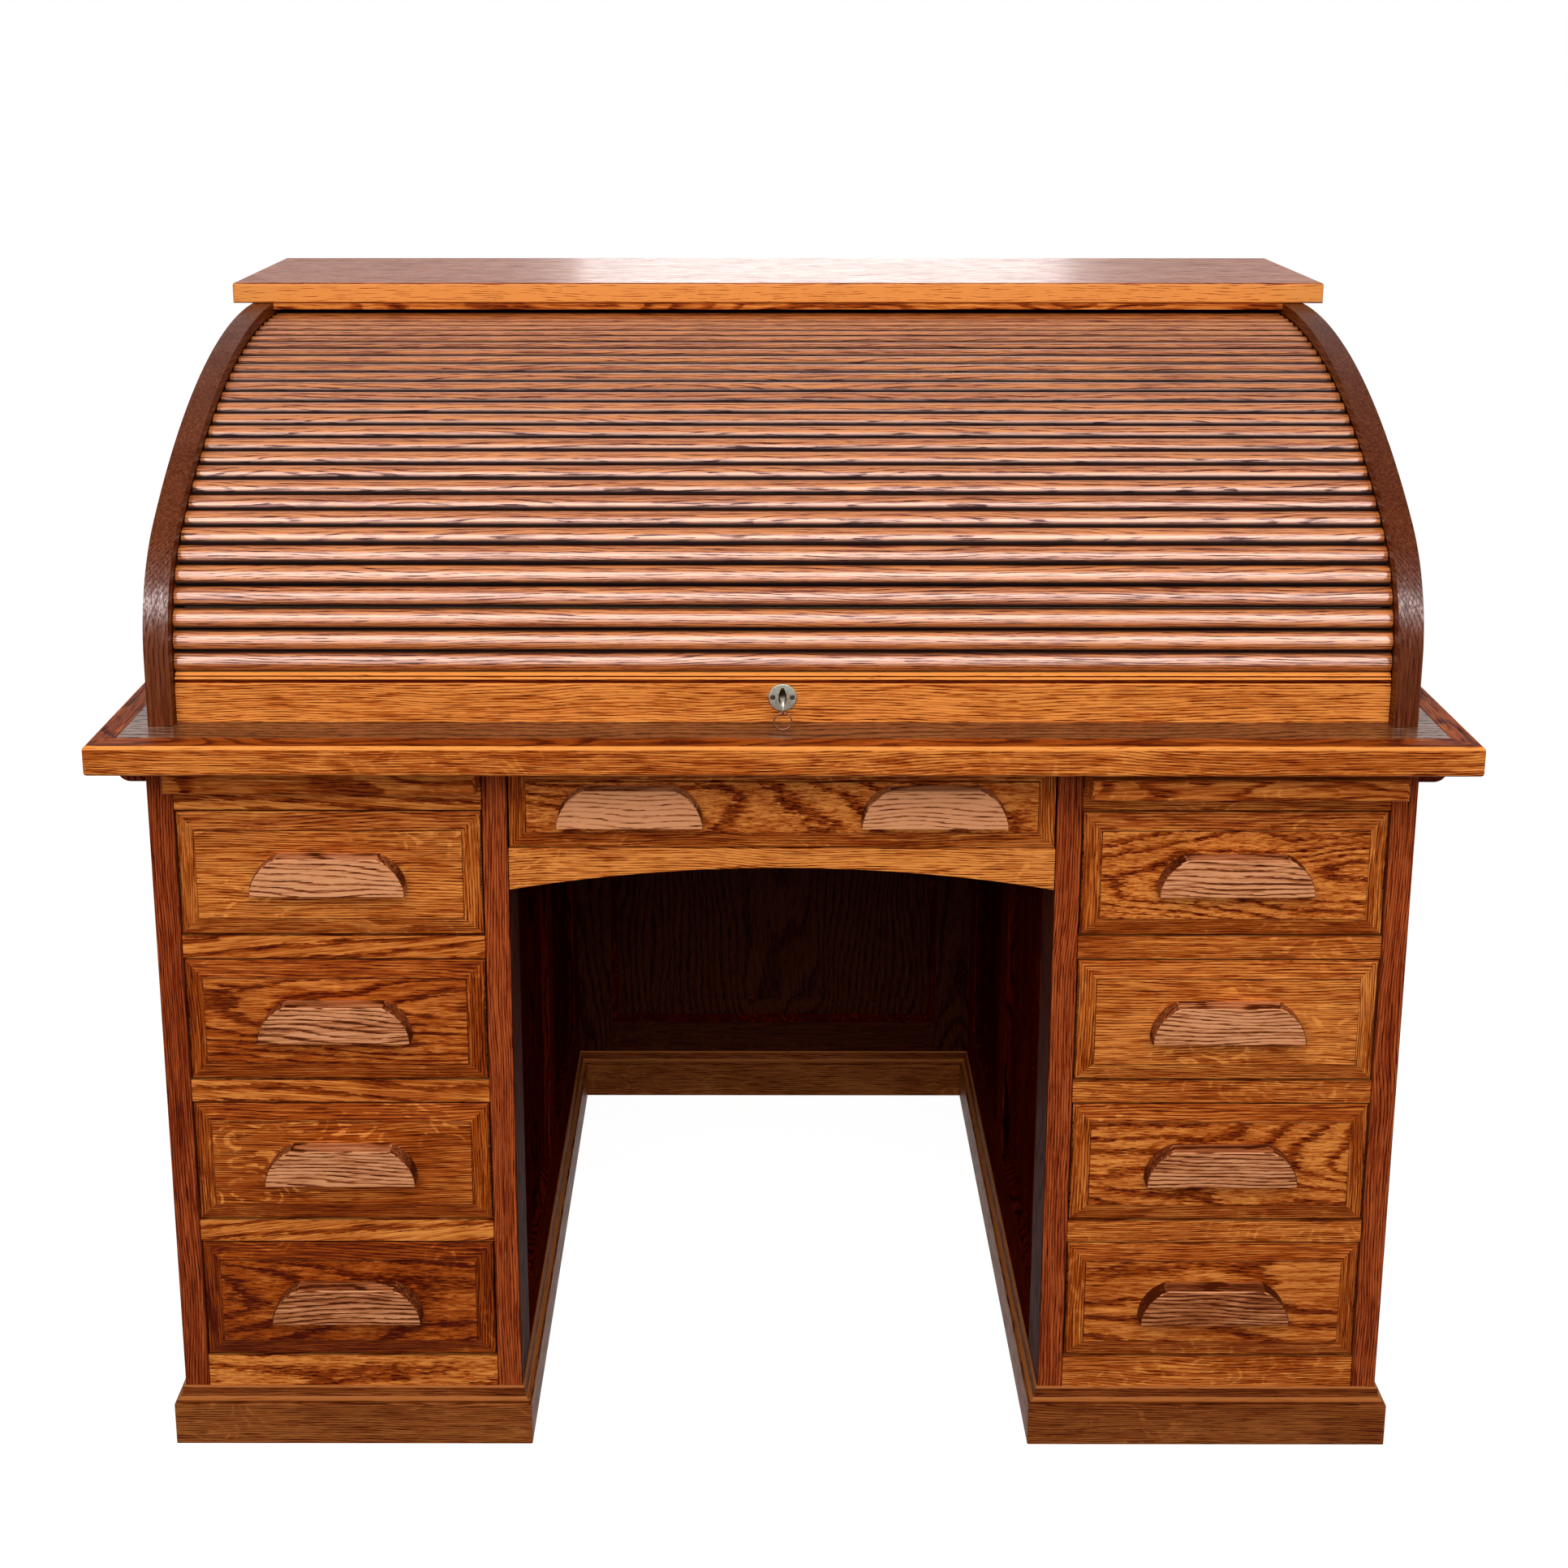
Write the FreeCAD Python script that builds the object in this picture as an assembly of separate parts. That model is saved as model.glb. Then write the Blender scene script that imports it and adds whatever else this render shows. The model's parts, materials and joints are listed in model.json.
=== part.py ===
"""Roll-top desk: a double-pedestal oak desk whose curved case closes with a slatted curtain (tambour).

Frame: millimetres, +Z up, the front faces -Y, +X to the right, origin on the floor below the middle of
the writing top. Each sub-part is written to parts/NAME.step.
"""

import FreeCAD, Part
import math
import os

# ---------------------------------------------------------------- driving dimensions
# writing top
top_width = 1287.0
top_depth = 820.0
top_thick = 29.5
writing_height = 780.0
lipping_width = 24.0
lipping_round = 4.0

# pedestals
top_overhang = 32.35        # of the writing top past the pedestals' outer faces
kneehole_width = 529.2      # between the inner faces of the pedestals
front_setback = 79.3        # stiles behind the top's front edge
frame_thick = 25.1
stile_width = 70.0          # of the end frames, front to back
muntin_width = 60.0
end_top_rail = 70.0
end_bottom_rail = 126.0
panel_thick = 9.0
panel_recess = 8.0          # panel face behind the frame face
panel_groove = 6.0
panel_margin = 22.0         # sloped border between the bead and the field
panel_slope = 2.8           # its rise
panel_field_rise = 4.0      # field above the margin's foot
panel_step_width = 0.5
bead_width = 9.0
bead_step = 1.0             # bead's flat behind the frame face
bead_flat = 2.0

# back
back_thick = 21.4
back_stile = 57.5
back_top_rail = 80.0
back_bottom_rail = 104.0

# plinth
plinth_height = 45.8
plinth_thick = 10.1
plinth_moulding_height = 15.7
plinth_ledge = 2.0
plinth_step_height = 3.0    # straight foot of the moulding
plinth_hollow_height = 8.6
plinth_fillet_width = 2.5
plinth_top_width = 1.0
plinth_top_bevel = 1.5      # height of it

# drawers, front rails and writing slides
drawer_count = 4
cover_rail_height = 17.5    # under the writing top
slide_slot_height = 21.3
slide_rail_height = 24.2    # between the writing slide and the first drawer
drawer_rail_height = 25.0
bottom_rail_top = 96.5
rail_depth = 45.0
front_gap = 1.0             # round each drawer front
front_thick = 20.0          # from the drawer front's edge to its back
edge_recess = 1.5           # drawer front's edge behind the stiles
border_width = 17.0
border_rise = 4.5
field_step = 1.5
field_ledge = 0.8           # between the border and the field's step
field_bevel = 0.7
drawer_box_depth = 560.0
drawer_side_thick = 12.0
drawer_back_thick = 12.0
drawer_bottom_thick = 6.0
drawer_bottom_lift = 10.0
drawer_side_clear = 2.0
drawer_box_drop = 12.0      # box sides below the top of the front
runner_width = 22.0
runner_height = 18.0
running_clear = 0.3

centre_rail_height = 14.0   # between the writing top and the centre drawer
centre_drawer_height = 86.0
centre_border_width = 16.0
centre_box_depth = 520.0
centre_runner_width = 24.0
apron_height = 42.7         # at its ends
apron_arch_rise = 22.6
apron_thick = 20.0

slide_thick = 18.0
slide_lift = 0.4            # of the lip above the board's underside
slide_depth = 560.0
slide_lip_height = 21.2
slide_lip_depth = 25.0
slide_lip_round = 3.0
slide_lip_inset = 1.5       # of its inner end from the inner stile
slide_lip_lap = 3.5         # of its outer end over the outer stile
slide_side_clear = 0.8
slide_kicker_clear = 0.7
right_slide_out = 17.0      # the right writing slide is stored pulled out by this much
slide_kicker_width = 14.0

cleat_width = 27.0
cleat_height = 33.5
cleat_round = 13.0

# half-moon pulls
pull_width = 150.0
centre_pull_width = 140.5
pull_height = 38.0
pull_depth = 17.5
pull_corner_radius = 40.0
pull_drop = 15.3            # pull's lower edge below the middle of its front
pull_chamfer = 0.9
pull_finger_inset = 18.0    # from the pull's ends
pull_finger_depth = 11.0
pull_finger_height = 24.0
centre_pull_offset = 146.0

# curved upper case
case_inset = 44.8           # of the case's sides from the writing top's ends
side_thick = 23.8
side_setback = 56.9         # its front edge behind the top's front edge
side_height = 339.3
side_straight = 65.0        # height of the straight part of the front edge
knee_radius = 152.0
knee_turn = 51.1            # degrees
case_top_overhang = 21.9    # past the case's sides
case_top_thick = 23.2
case_top_setback = 545.8
case_top_round = 3.0
hood_rail_height = 7.0
hood_rail_depth = 20.0
case_back_thick = 8.0

# curtain and its track; the track line is the slats' inner face
crest_inset = 13.0          # slat crests inside the side panels' curved edge
slat_thick = 11.0
slat_base = 3.0
slat_pitch = 20.3
slat_gap = 0.6
slat_counts = [2, 2, 2, 2, 4, 5, 4, 3, 3, 3]
rear_bend_radius = 70.0
rear_line_gap = 25.0        # track line in front of the case's rear edge
curtain_end_clear = 0.5
groove_depth = 8.0
groove_side_clear = 0.5
canvas_thick = 0.8
canvas_end_clear = 0.7
lead_rail_height = 48.0
lead_rail_thick = 19.0
lead_rail_inset = 12.0      # its front face behind the side panels' front edge
lead_moulding_height = 11.3
lead_floor_clear = 0.3
lead_hollow_back = 2.0      # depths of the moulding's hollow and beads behind the rail's front face
lead_hollow_start = 0.9
lead_bead_start = 1.1
lead_bead_crest = 0.6
lead_bead_end = 1.8
lead_cap_start = 3.0
lead_cap_middle = 3.8
lead_cap_end = 6.0
lead_cap_drop = 0.8         # of the cap's middle below the rail's top

# pigeonhole gallery
gallery_front = 432.0       # behind the top's front edge
gallery_depth = 200.0
gallery_height = 216.0
gallery_board = 9.0
gallery_back_thick = 6.0
gallery_columns = 6
gallery_shelf_height = 92.0
gallery_side_clear = 1.0

# lock, key and ring
lock_height = 25.3          # centre above the writing top
escutcheon_radius = 13.5
escutcheon_thick = 1.8
escutcheon_round = 0.9
lock_screw_offset = 9.2
lock_screw_radius = 2.4
lock_screw_slot = 0.8
keyhole_half_width = 3.5
keyhole_top = 9.5           # above the lock's centre
keyhole_bottom = 8.5
keyhole_end_half_width = 1.1
lock_body_size = (60.0, 11.0, 36.0)
lock_chamber_radius = 9.0
lock_chamber_depth = 8.0
strike_size = (56.0, 16.0, 2.0)
key_stem_radius = 2.6
key_thick = 1.6
key_bit_reach = 7.5         # below the stem's axis
key_bit_length = 5.0
key_reach = 26.0            # from the rail's face to the bow's centre
key_bow_radius = 8.5
key_hole_radius = 2.8
key_hole_out = 3.0          # in front of the bow's centre
key_hole_drop = 4.0         # below it
ring_radius = 8.2
ring_wire = 0.75

# ---------------------------------------------------------------- places worked out from them
front_edge = -top_depth / 2
rear_edge = top_depth / 2
top_underside = writing_height - top_thick
stile_face = front_edge + front_setback
outer_face = top_width / 2 - top_overhang
outer_inside = outer_face - frame_thick
inner_face = kneehole_width / 2
inner_inside = inner_face + frame_thick
opening_width = outer_inside - inner_inside
opening_middle = (outer_inside + inner_inside) / 2
back_face = rear_edge - back_thick
slide_slot_top = top_underside - cover_rail_height
slide_rail_top = slide_slot_top - slide_slot_height
first_opening_top = slide_rail_top - slide_rail_height
drawer_opening_height = ((first_opening_top - bottom_rail_top - (drawer_count - 1) * drawer_rail_height)
                         / drawer_count)
drawer_pitch = drawer_opening_height + drawer_rail_height
centre_drawer_top = top_underside - centre_rail_height - front_gap
centre_drawer_bottom = centre_drawer_top - centre_drawer_height
apron_top = centre_drawer_bottom - front_gap
apron_end_bottom = apron_top - apron_height

side_front = front_edge + side_setback
case_top = writing_height + side_height
side_outside = top_width / 2 - case_inset
side_inside = side_outside - side_thick
case_top_half = side_outside + case_top_overhang
crown_radius = ((side_height - side_straight - knee_radius * math.sin(math.radians(knee_turn)))
                / (1 - math.sin(math.radians(knee_turn))))
track_inset = crest_inset + slat_thick
curtain_half = side_inside - curtain_end_clear
drawer_front_width = opening_width - 2 * front_gap
field_face = stile_face + edge_recess - border_rise - field_step


# ---------------------------------------------------------------- helpers
def box(x, y, z):
    """A box from three (low, high) pairs."""
    return Part.makeBox(x[1] - x[0], y[1] - y[0], z[1] - z[0], FreeCAD.Vector(x[0], y[0], z[0]))


def mirrored(shape):
    """The same shape on the other side of the desk."""
    return shape.mirror(FreeCAD.Vector(0, 0, 0), FreeCAD.Vector(1, 0, 0))


def on_both_sides(shapes):
    return list(shapes) + [mirrored(shape) for shape in shapes]


def rectangle(low, high, place):
    """A closed wire round a rectangle, where place turns its two coordinates into a point."""
    corners = [(low[0], low[1]), (high[0], low[1]), (high[0], high[1]), (low[0], high[1])]
    points = [place(a, b) for a, b in corners]
    return Part.makePolygon(points + points[:1])


def tapered(outlines):
    """A solid through rectangles of like shape, with flat faces between each two."""
    return Part.makeLoft(outlines, True, True)


def outline_face(edges):
    return Part.Face(Part.Wire(edges))


def extruded(edges, along):
    return outline_face(edges).extrude(along)


def line(start, end):
    return Part.LineSegment(start, end).toShape()


def arc(start, middle, end):
    return Part.Arc(start, middle, end).toShape()


def closed_edges(points):
    return [line(a, b) for a, b in zip(points, points[1:] + points[:1])]


def rounded(shape, radius, chosen):
    """Fillet the straight or curved edges that chosen(edge) picks."""
    return shape.makeFillet(radius, [edge for edge in shape.Edges if chosen(edge)])


def lies_at(edge, **where):
    """Does the whole edge lie at the given x, y or z?"""
    limits = edge.BoundBox
    ends = {"x": (limits.XMin, limits.XMax),
            "y": (limits.YMin, limits.YMax),
            "z": (limits.ZMin, limits.ZMax)}
    return all(abs(end - value) < 0.01 for name, value in where.items() for end in ends[name])


def save(name, solids):
    """Write one sub-part; several solids stay separate pieces of it."""
    shapes = list(solids) if isinstance(solids, (list, tuple)) else [solids]
    pieces = [solid for shape in shapes for solid in shape.Solids]
    whole = pieces[0] if len(pieces) == 1 else Part.makeCompound(pieces)
    whole.exportStep(f"parts/{name}.step")


# ---------------------------------------------------------------- the curtain's track
class Track:
    """A line in the Y-Z plane, made of straight runs and arcs that all turn the same way."""

    def __init__(self, start, heading):
        self.point = start
        self.heading = heading      # degrees above the rearward direction
        self.runs = []

    def straight(self, length):
        self.runs.append((self.point, self.heading, length, 0.0))
        self.point = self.at(self.length())[:2]
        return self

    def bend(self, radius, turn):
        self.runs.append((self.point, self.heading, radius * math.radians(turn), radius))
        self.point = self.at(self.length())[:2]
        self.heading -= turn
        return self

    def length(self):
        return sum(run[2] for run in self.runs)

    def at(self, distance):
        """Position and heading at a distance along the line."""
        for number, (point, heading, length, radius) in enumerate(self.runs):
            if distance <= length or number == len(self.runs) - 1:
                break
            distance -= length
        turned = math.degrees(distance / radius) if radius else 0.0
        away = math.radians(heading)
        if not radius:
            return point[0] + distance * math.cos(away), point[1] + distance * math.sin(away), heading
        now = math.radians(heading - turned)
        return (point[0] + radius * (math.sin(away) - math.sin(now)),
                point[1] + radius * (math.cos(now) - math.cos(away)), heading - turned)

    def edges(self, x):
        """The line as edges in the plane at x."""
        made, start = [], 0.0
        for _, _, length, radius in self.runs:
            points = [FreeCAD.Vector(x, *self.at(start + share * length)[:2]) for share in (0.0, 0.5, 1.0)]
            made.append(arc(*points) if radius else line(points[0], points[2]))
            start += length
        return made


def case_line(inset, from_height=0.0):
    """The case's curved line, a distance inside the side panels' front edge, up to its level top."""
    return (Track((side_front + inset, writing_height + from_height), 90.0)
            .straight(side_straight - from_height)
            .bend(knee_radius - inset, knee_turn)
            .bend(crown_radius - inset, 90.0 - knee_turn))


def curtain_line(inset, from_height=0.0):
    """The whole track: the case's curve, level under the top, round the rear bend and down."""
    track = case_line(inset, from_height)
    rear_line = rear_edge - rear_line_gap
    bend = rear_bend_radius + track_inset - inset
    outward = track_inset - inset
    track.straight(rear_line + outward - bend - track.point[0])
    track.bend(bend, 90.0)
    return track.straight(track.point[1] - writing_height)


track = curtain_line(track_inset)


def group_ends():
    """Distances along the track at which the lead rail and each slat group end."""
    ends = [0.0, lead_rail_height]
    for count in slat_counts:
        ends.append(ends[-1] + count * slat_pitch)
    return ends


# ---------------------------------------------------------------- writing top
def writing_top():
    inner = box((-top_width / 2 + lipping_width, top_width / 2 - lipping_width),
                (front_edge + lipping_width, rear_edge), (top_underside, writing_height))
    return inner.cut(strike_recess())


def writing_top_lipping():
    """Front and side edgings, mitred at the front corners."""
    half, inside = top_width / 2, top_width / 2 - lipping_width
    up = FreeCAD.Vector(0, 0, top_thick)

    def edging(corners):
        return extruded(closed_edges([FreeCAD.Vector(x, y, top_underside) for x, y in corners]), up)

    front = edging([(-half, front_edge), (half, front_edge),
                    (inside, front_edge + lipping_width), (-inside, front_edge + lipping_width)])
    side = edging([(half, front_edge), (half, rear_edge), (inside, rear_edge),
                   (inside, front_edge + lipping_width)])
    front = rounded(front, lipping_round,
                    lambda edge: lies_at(edge, y=front_edge) and not lies_at(edge, x=edge.CenterOfMass.x))
    side = rounded(side, lipping_round,
                   lambda edge: lies_at(edge, x=half) and not lies_at(edge, y=edge.CenterOfMass.y))
    return [front] + on_both_sides([side])


# ---------------------------------------------------------------- pedestal frames and panels
def end_frame(x_low, y_high):
    """Five members of a frame-and-panel end, thickness along X, with the shapes of its two panels."""
    x = (x_low, x_low + frame_thick)
    y = (stile_face, y_high)
    openings_top = top_underside - end_top_rail
    middle = (y[0] + y[1]) / 2
    inside = (y[0] + stile_width, y[1] - stile_width)
    muntin = (middle - muntin_width / 2, middle + muntin_width / 2)
    members = [
        box(x, (y[0], inside[0]), (0, top_underside)),
        box(x, (inside[1], y[1]), (0, top_underside)),
        box(x, inside, (openings_top, top_underside)),
        box(x, inside, (0, end_bottom_rail)),
        box(x, muntin, (end_bottom_rail, openings_top)),
    ]
    bays = [((inside[0], muntin[0]), (end_bottom_rail, openings_top)),
            ((muntin[1], inside[1]), (end_bottom_rail, openings_top))]
    return members, bays


def framed_panel(a, b, face, inward, place):
    """A fielded panel in its grooves, with a bevelled bead round the bay on its show side.

    a and b are the bay's two ranges, face the frame's show face, inward the direction behind it.
    """
    def rect(grow, depth):
        return rectangle((a[0] - grow, b[0] - grow), (a[1] + grow, b[1] + grow),
                         lambda p, q: place(p, q, face + inward * depth))

    field_edge = -bead_width - panel_margin
    board = tapered([rect(panel_groove, panel_recess), rect(panel_groove, panel_recess + panel_thick)])
    margin = tapered([rect(-bead_width, panel_recess), rect(field_edge, panel_recess - panel_slope)])
    field = tapered([rect(field_edge - panel_step_width, panel_recess - panel_slope),
                     rect(field_edge - 2 * panel_step_width, panel_recess - panel_field_rise)])
    bead = tapered([rect(0, bead_step), rect(0, panel_recess)])
    hollow = tapered([rect(-bead_flat, bead_step / 2), rect(-bead_flat, bead_step * 2),
                      rect(-bead_width, panel_recess)])
    return board.fuse([margin, field]), bead.cut(hollow)


def grooved(members, panels):
    """Cut the panels' grooves into the frame's members."""
    return [member.cut(Part.makeCompound(panels)) for member in members]


def ends_of_pedestals():
    """Frames and panels of the four pedestal ends; the outer ones cover the back's edges."""
    frames, panels, beads = {}, [], []
    places = {"outer": (outer_inside, rear_edge, outer_face, -1),
              "inner": (inner_face, back_face, inner_face, 1)}

    def place(p, q, depth):
        return FreeCAD.Vector(depth, p, q)

    for name, (x_low, y_high, face, inward) in places.items():
        members, bays = end_frame(x_low, y_high)
        made = [framed_panel(a, b, face, inward, place) for a, b in bays]
        frames[name] = on_both_sides(grooved(members, [panel for panel, _ in made]))
        panels += [panel for panel, _ in made]
        beads += [bead for _, bead in made]
    return frames, on_both_sides(panels), on_both_sides(beads)


def back():
    """One frame across the back with three panels; the middle one closes the kneehole."""
    y = (back_face, rear_edge)
    bottom, top = back_bottom_rail, top_underside - back_top_rail
    half = outer_inside
    inner = inner_face + frame_thick / 2
    stile_ranges = [(-half, -half + back_stile), (-inner - back_stile / 2, -inner + back_stile),
                    (inner - back_stile, inner + back_stile / 2), (half - back_stile, half)]
    members = [box(x, y, (0, top_underside)) for x in stile_ranges]
    bays = []
    for left, right in zip(stile_ranges, stile_ranges[1:]):
        bay = (left[1], right[0])
        members += [box(bay, y, (top, top_underside)), box(bay, y, (0, bottom))]
        bays.append(bay)
    panels, beads = [], []
    for number, bay in enumerate(bays):
        kneehole = number == 1
        face, inward = (back_face, 1) if kneehole else (rear_edge, -1)
        panel, bead = framed_panel(bay, (bottom, top), face, inward,
                                   lambda p, q, depth: FreeCAD.Vector(p, depth, q))
        panels.append(panel)
        beads.append(bead)
    return grooved(members, panels), panels, beads


# ---------------------------------------------------------------- plinth
def plinth_boards():
    """Boards round each pedestal's foot, mitred outside, and one across the kneehole's back."""
    front = stile_face - plinth_thick
    outer = outer_face + plinth_thick
    inner = inner_face - plinth_thick
    kneehole_front = back_face - plinth_thick
    up = FreeCAD.Vector(0, 0, plinth_height)

    def board(corners):
        return extruded(closed_edges([FreeCAD.Vector(x, y, 0) for x, y in corners]), up)

    side = on_both_sides([
        board([(inner, front), (outer, front), (outer_face, stile_face), (inner_face, stile_face)]),
        board([(outer, front), (outer, rear_edge), (outer_face, rear_edge), (outer_face, stile_face)]),
        board([(inner, front), (inner_face, stile_face), (inner_face, back_face), (inner, kneehole_front)]),
    ])
    return side + [board([(-inner, kneehole_front), (inner, kneehole_front),
                          (inner_face, back_face), (-inner_face, back_face)])]


def plinth_profile():
    """Half-width and height pairs of the moulding on the plinth: a step, a hollow and a fillet at the top."""
    steps, thick = 4, plinth_thick - plinth_ledge
    low, high = plinth_height + plinth_step_height, plinth_height + plinth_moulding_height
    shape = [(0.0, plinth_height), (thick, plinth_height), (thick, low)]
    reach = thick - plinth_fillet_width
    for n in range(1, steps + 1):
        angle = math.pi / 2 * n / steps
        shape.append((plinth_fillet_width + reach * (1 - math.sin(angle)),
                      low + plinth_hollow_height * (1 - math.cos(angle))))
    return shape + [(plinth_fillet_width, high - plinth_top_bevel), (plinth_top_width, high), (0.0, high)]


def moulding_run(start, end, outward, start_mitre, end_mitre):
    """The plinth's moulding between two floor points; a mitre of 1 or -1 lengthens or shortens that end."""
    run = end.sub(start)
    along = FreeCAD.Vector(run).normalize()
    sections = []
    for point, mitre, sign in ((start, start_mitre, -1), (end, end_mitre, 1)):
        corners = [point + outward * reach + along * (sign * mitre * reach) + FreeCAD.Vector(0, 0, z)
                   for reach, z in plinth_profile()]
        sections.append(Part.makePolygon(corners + corners[:1]))
    return Part.makeLoft(sections, True, True)


def plinth_moulding():
    left, right = FreeCAD.Vector(-1, 0, 0), FreeCAD.Vector(1, 0, 0)
    ahead = FreeCAD.Vector(0, -1, 0)
    front_inner = FreeCAD.Vector(inner_face, stile_face, 0)
    front_outer = FreeCAD.Vector(outer_face, stile_face, 0)
    rear_inner = FreeCAD.Vector(inner_face, back_face, 0)
    rear_outer = FreeCAD.Vector(outer_face, rear_edge, 0)
    one_side = [
        moulding_run(front_inner, front_outer, ahead, 1, 1),
        moulding_run(front_outer, rear_outer, right, 1, 0),
        moulding_run(front_inner, rear_inner, left, 1, -1),
    ]
    rear_left = FreeCAD.Vector(-inner_face, back_face, 0)
    return on_both_sides(one_side) + [moulding_run(rear_left, rear_inner, ahead, -1, -1)]


# ---------------------------------------------------------------- front rails, runners, cleats
def opening_range(number):
    """Height range of a pedestal drawer's opening, counted from the top."""
    top = first_opening_top - number * drawer_pitch
    return top - drawer_opening_height, top


def drawer_rails():
    x = (inner_inside, outer_inside)
    y = (stile_face, stile_face + rail_depth)
    rails = [box(x, y, (slide_slot_top, top_underside)), box(x, y, (first_opening_top, slide_rail_top))]
    for number in range(drawer_count - 1):
        rails.append(box(x, y, (opening_range(number + 1)[1], opening_range(number)[0])))
    rails.append(box(x, y, (plinth_height / 2, opening_range(drawer_count - 1)[0])))
    return rails


def runners():
    """Runners under each pedestal drawer, and runners and kickers for each writing slide."""
    y = (stile_face + rail_depth, back_face)
    made = []
    for number in range(drawer_count):
        z = (opening_range(number)[0] - runner_height, opening_range(number)[0])
        made.append(box((inner_inside, inner_inside + runner_width), y, z))
        made.append(box((outer_inside - runner_width, outer_inside), y, z))
    z = (slide_rail_top - runner_height, slide_rail_top)
    made.append(box((inner_inside, inner_inside + runner_width), y, z))
    made.append(box((outer_inside - runner_width, outer_inside), y, z))
    z = (slide_rail_top + running_clear + slide_thick + slide_kicker_clear, top_underside)
    made.append(box((inner_inside, inner_inside + slide_kicker_width), y, z))
    made.append(box((outer_inside - slide_kicker_width, outer_inside), y, z))
    return on_both_sides(made)


def centre_runners():
    """L-shaped runners on the inner ends that carry the centre drawer, and its top rail."""
    y = (stile_face + apron_thick, back_face)
    z_low = centre_drawer_bottom
    ledge = box((inner_face - centre_runner_width, inner_face), y, (z_low - runner_height, z_low))
    top_rail = box((-inner_face, inner_face), (stile_face, stile_face + rail_depth),
                   (centre_drawer_top + front_gap, top_underside))
    return on_both_sides([ledge]) + [top_rail]


def kneehole_apron():
    """The arched rail below the centre drawer."""
    corners = [FreeCAD.Vector(x, stile_face, z) for x, z in
               ((inner_face, apron_end_bottom), (inner_face, apron_top), (-inner_face, apron_top),
                (-inner_face, apron_end_bottom))]
    crown = FreeCAD.Vector(0, stile_face, apron_end_bottom + apron_arch_rise)
    edges = [line(a, b) for a, b in zip(corners, corners[1:])] + [arc(corners[3], crown, corners[0])]
    return extruded(edges, FreeCAD.Vector(0, apron_thick, 0))


def side_cleats():
    """Mouldings under the writing top along the pedestals' outer faces."""
    cleat = box((outer_face, outer_face + cleat_width), (stile_face, rear_edge),
                (top_underside - cleat_height, top_underside))
    lower = lambda edge: lies_at(edge, x=outer_face + cleat_width, z=top_underside - cleat_height)
    return on_both_sides([rounded(cleat, cleat_round, lower)])


# ---------------------------------------------------------------- drawers, pulls and slides
def fielded_front(x, z, border):
    """A drawer front whose border rises to a stepped field."""
    def rect(grow, y):
        return rectangle((x[0] - grow, z[0] - grow), (x[1] + grow, z[1] + grow),
                         lambda p, q: FreeCAD.Vector(p, y, q))

    edge = stile_face + edge_recess
    rise = edge - border_rise
    body = tapered([rect(0, edge + front_thick), rect(0, edge), rect(-border, rise)])
    inset = border + field_ledge
    field = tapered([rect(-inset, rise), rect(-inset, field_face + field_bevel),
                     rect(-inset - field_bevel, field_face)])
    return body.fuse(field)


def pull(middle, bottom, width):
    """A half-moon block with its front arris broken, scooped from below for the fingers."""
    half = width / 2
    flat = half - pull_corner_radius + math.sqrt(pull_corner_radius ** 2 - pull_height ** 2)
    turn = math.asin(pull_height / pull_corner_radius) / 2
    corner = (half - pull_corner_radius * (1 - math.cos(turn)), pull_corner_radius * math.sin(turn))

    def at(x, z):
        return FreeCAD.Vector(middle + x, field_face - pull_depth, bottom + z)

    edges = [line(at(-half, 0), at(half, 0)), arc(at(half, 0), at(*corner), at(flat, pull_height)),
             line(at(flat, pull_height), at(-flat, pull_height)),
             arc(at(-flat, pull_height), at(-corner[0], corner[1]), at(-half, 0))]
    block = extruded(edges, FreeCAD.Vector(0, pull_depth, 0))
    face = field_face - pull_depth
    block = block.makeChamfer(pull_chamfer, [edge for edge in block.Edges
                                             if lies_at(edge, y=face) and not lies_at(edge, z=bottom)])
    finger = half - pull_finger_inset
    scoop = box((middle - finger, middle + finger), (field_face - pull_finger_depth, field_face),
                (bottom, bottom + pull_finger_height))
    return block.cut(scoop)


def drawer_box(x, z, depth):
    """Sides, back and bottom of a drawer behind its front, as separate boards."""
    y = (stile_face + edge_recess + front_thick, stile_face + edge_recess + front_thick + depth)
    left = (x[0], x[0] + drawer_side_thick)
    right = (x[1] - drawer_side_thick, x[1])
    inside = (left[1], right[0])
    floor = (z[0] + drawer_bottom_lift, z[0] + drawer_bottom_lift + drawer_bottom_thick)
    groove = drawer_side_thick / 2
    bottom = box((inside[0] - groove, inside[1] + groove), (y[0], y[1] - drawer_back_thick), floor)
    sides = [box(side, y, z).cut(bottom) for side in (left, right)]
    rear = box(inside, (y[1] - drawer_back_thick, y[1]), (floor[0], z[1]))
    return sides + [rear, bottom]


def pedestal_drawer(number, side):
    """Front with its pull, and box, of a drawer on one side (1 right, -1 left)."""
    low, high = opening_range(number)
    x = (opening_middle - drawer_front_width / 2, opening_middle + drawer_front_width / 2)
    z = (low + front_gap, high - front_gap)
    front = fielded_front(x, z, border_width)
    handle = pull(opening_middle, (z[0] + z[1]) / 2 - pull_drop, pull_width)
    box_x = (inner_inside + drawer_side_clear, outer_inside - drawer_side_clear)
    box_z = (low + running_clear, z[1] - drawer_box_drop)
    boards = drawer_box(box_x, box_z, drawer_box_depth)
    if side < 0:
        return [mirrored(front), mirrored(handle)], [mirrored(board) for board in boards]
    return [front, handle], boards


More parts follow.
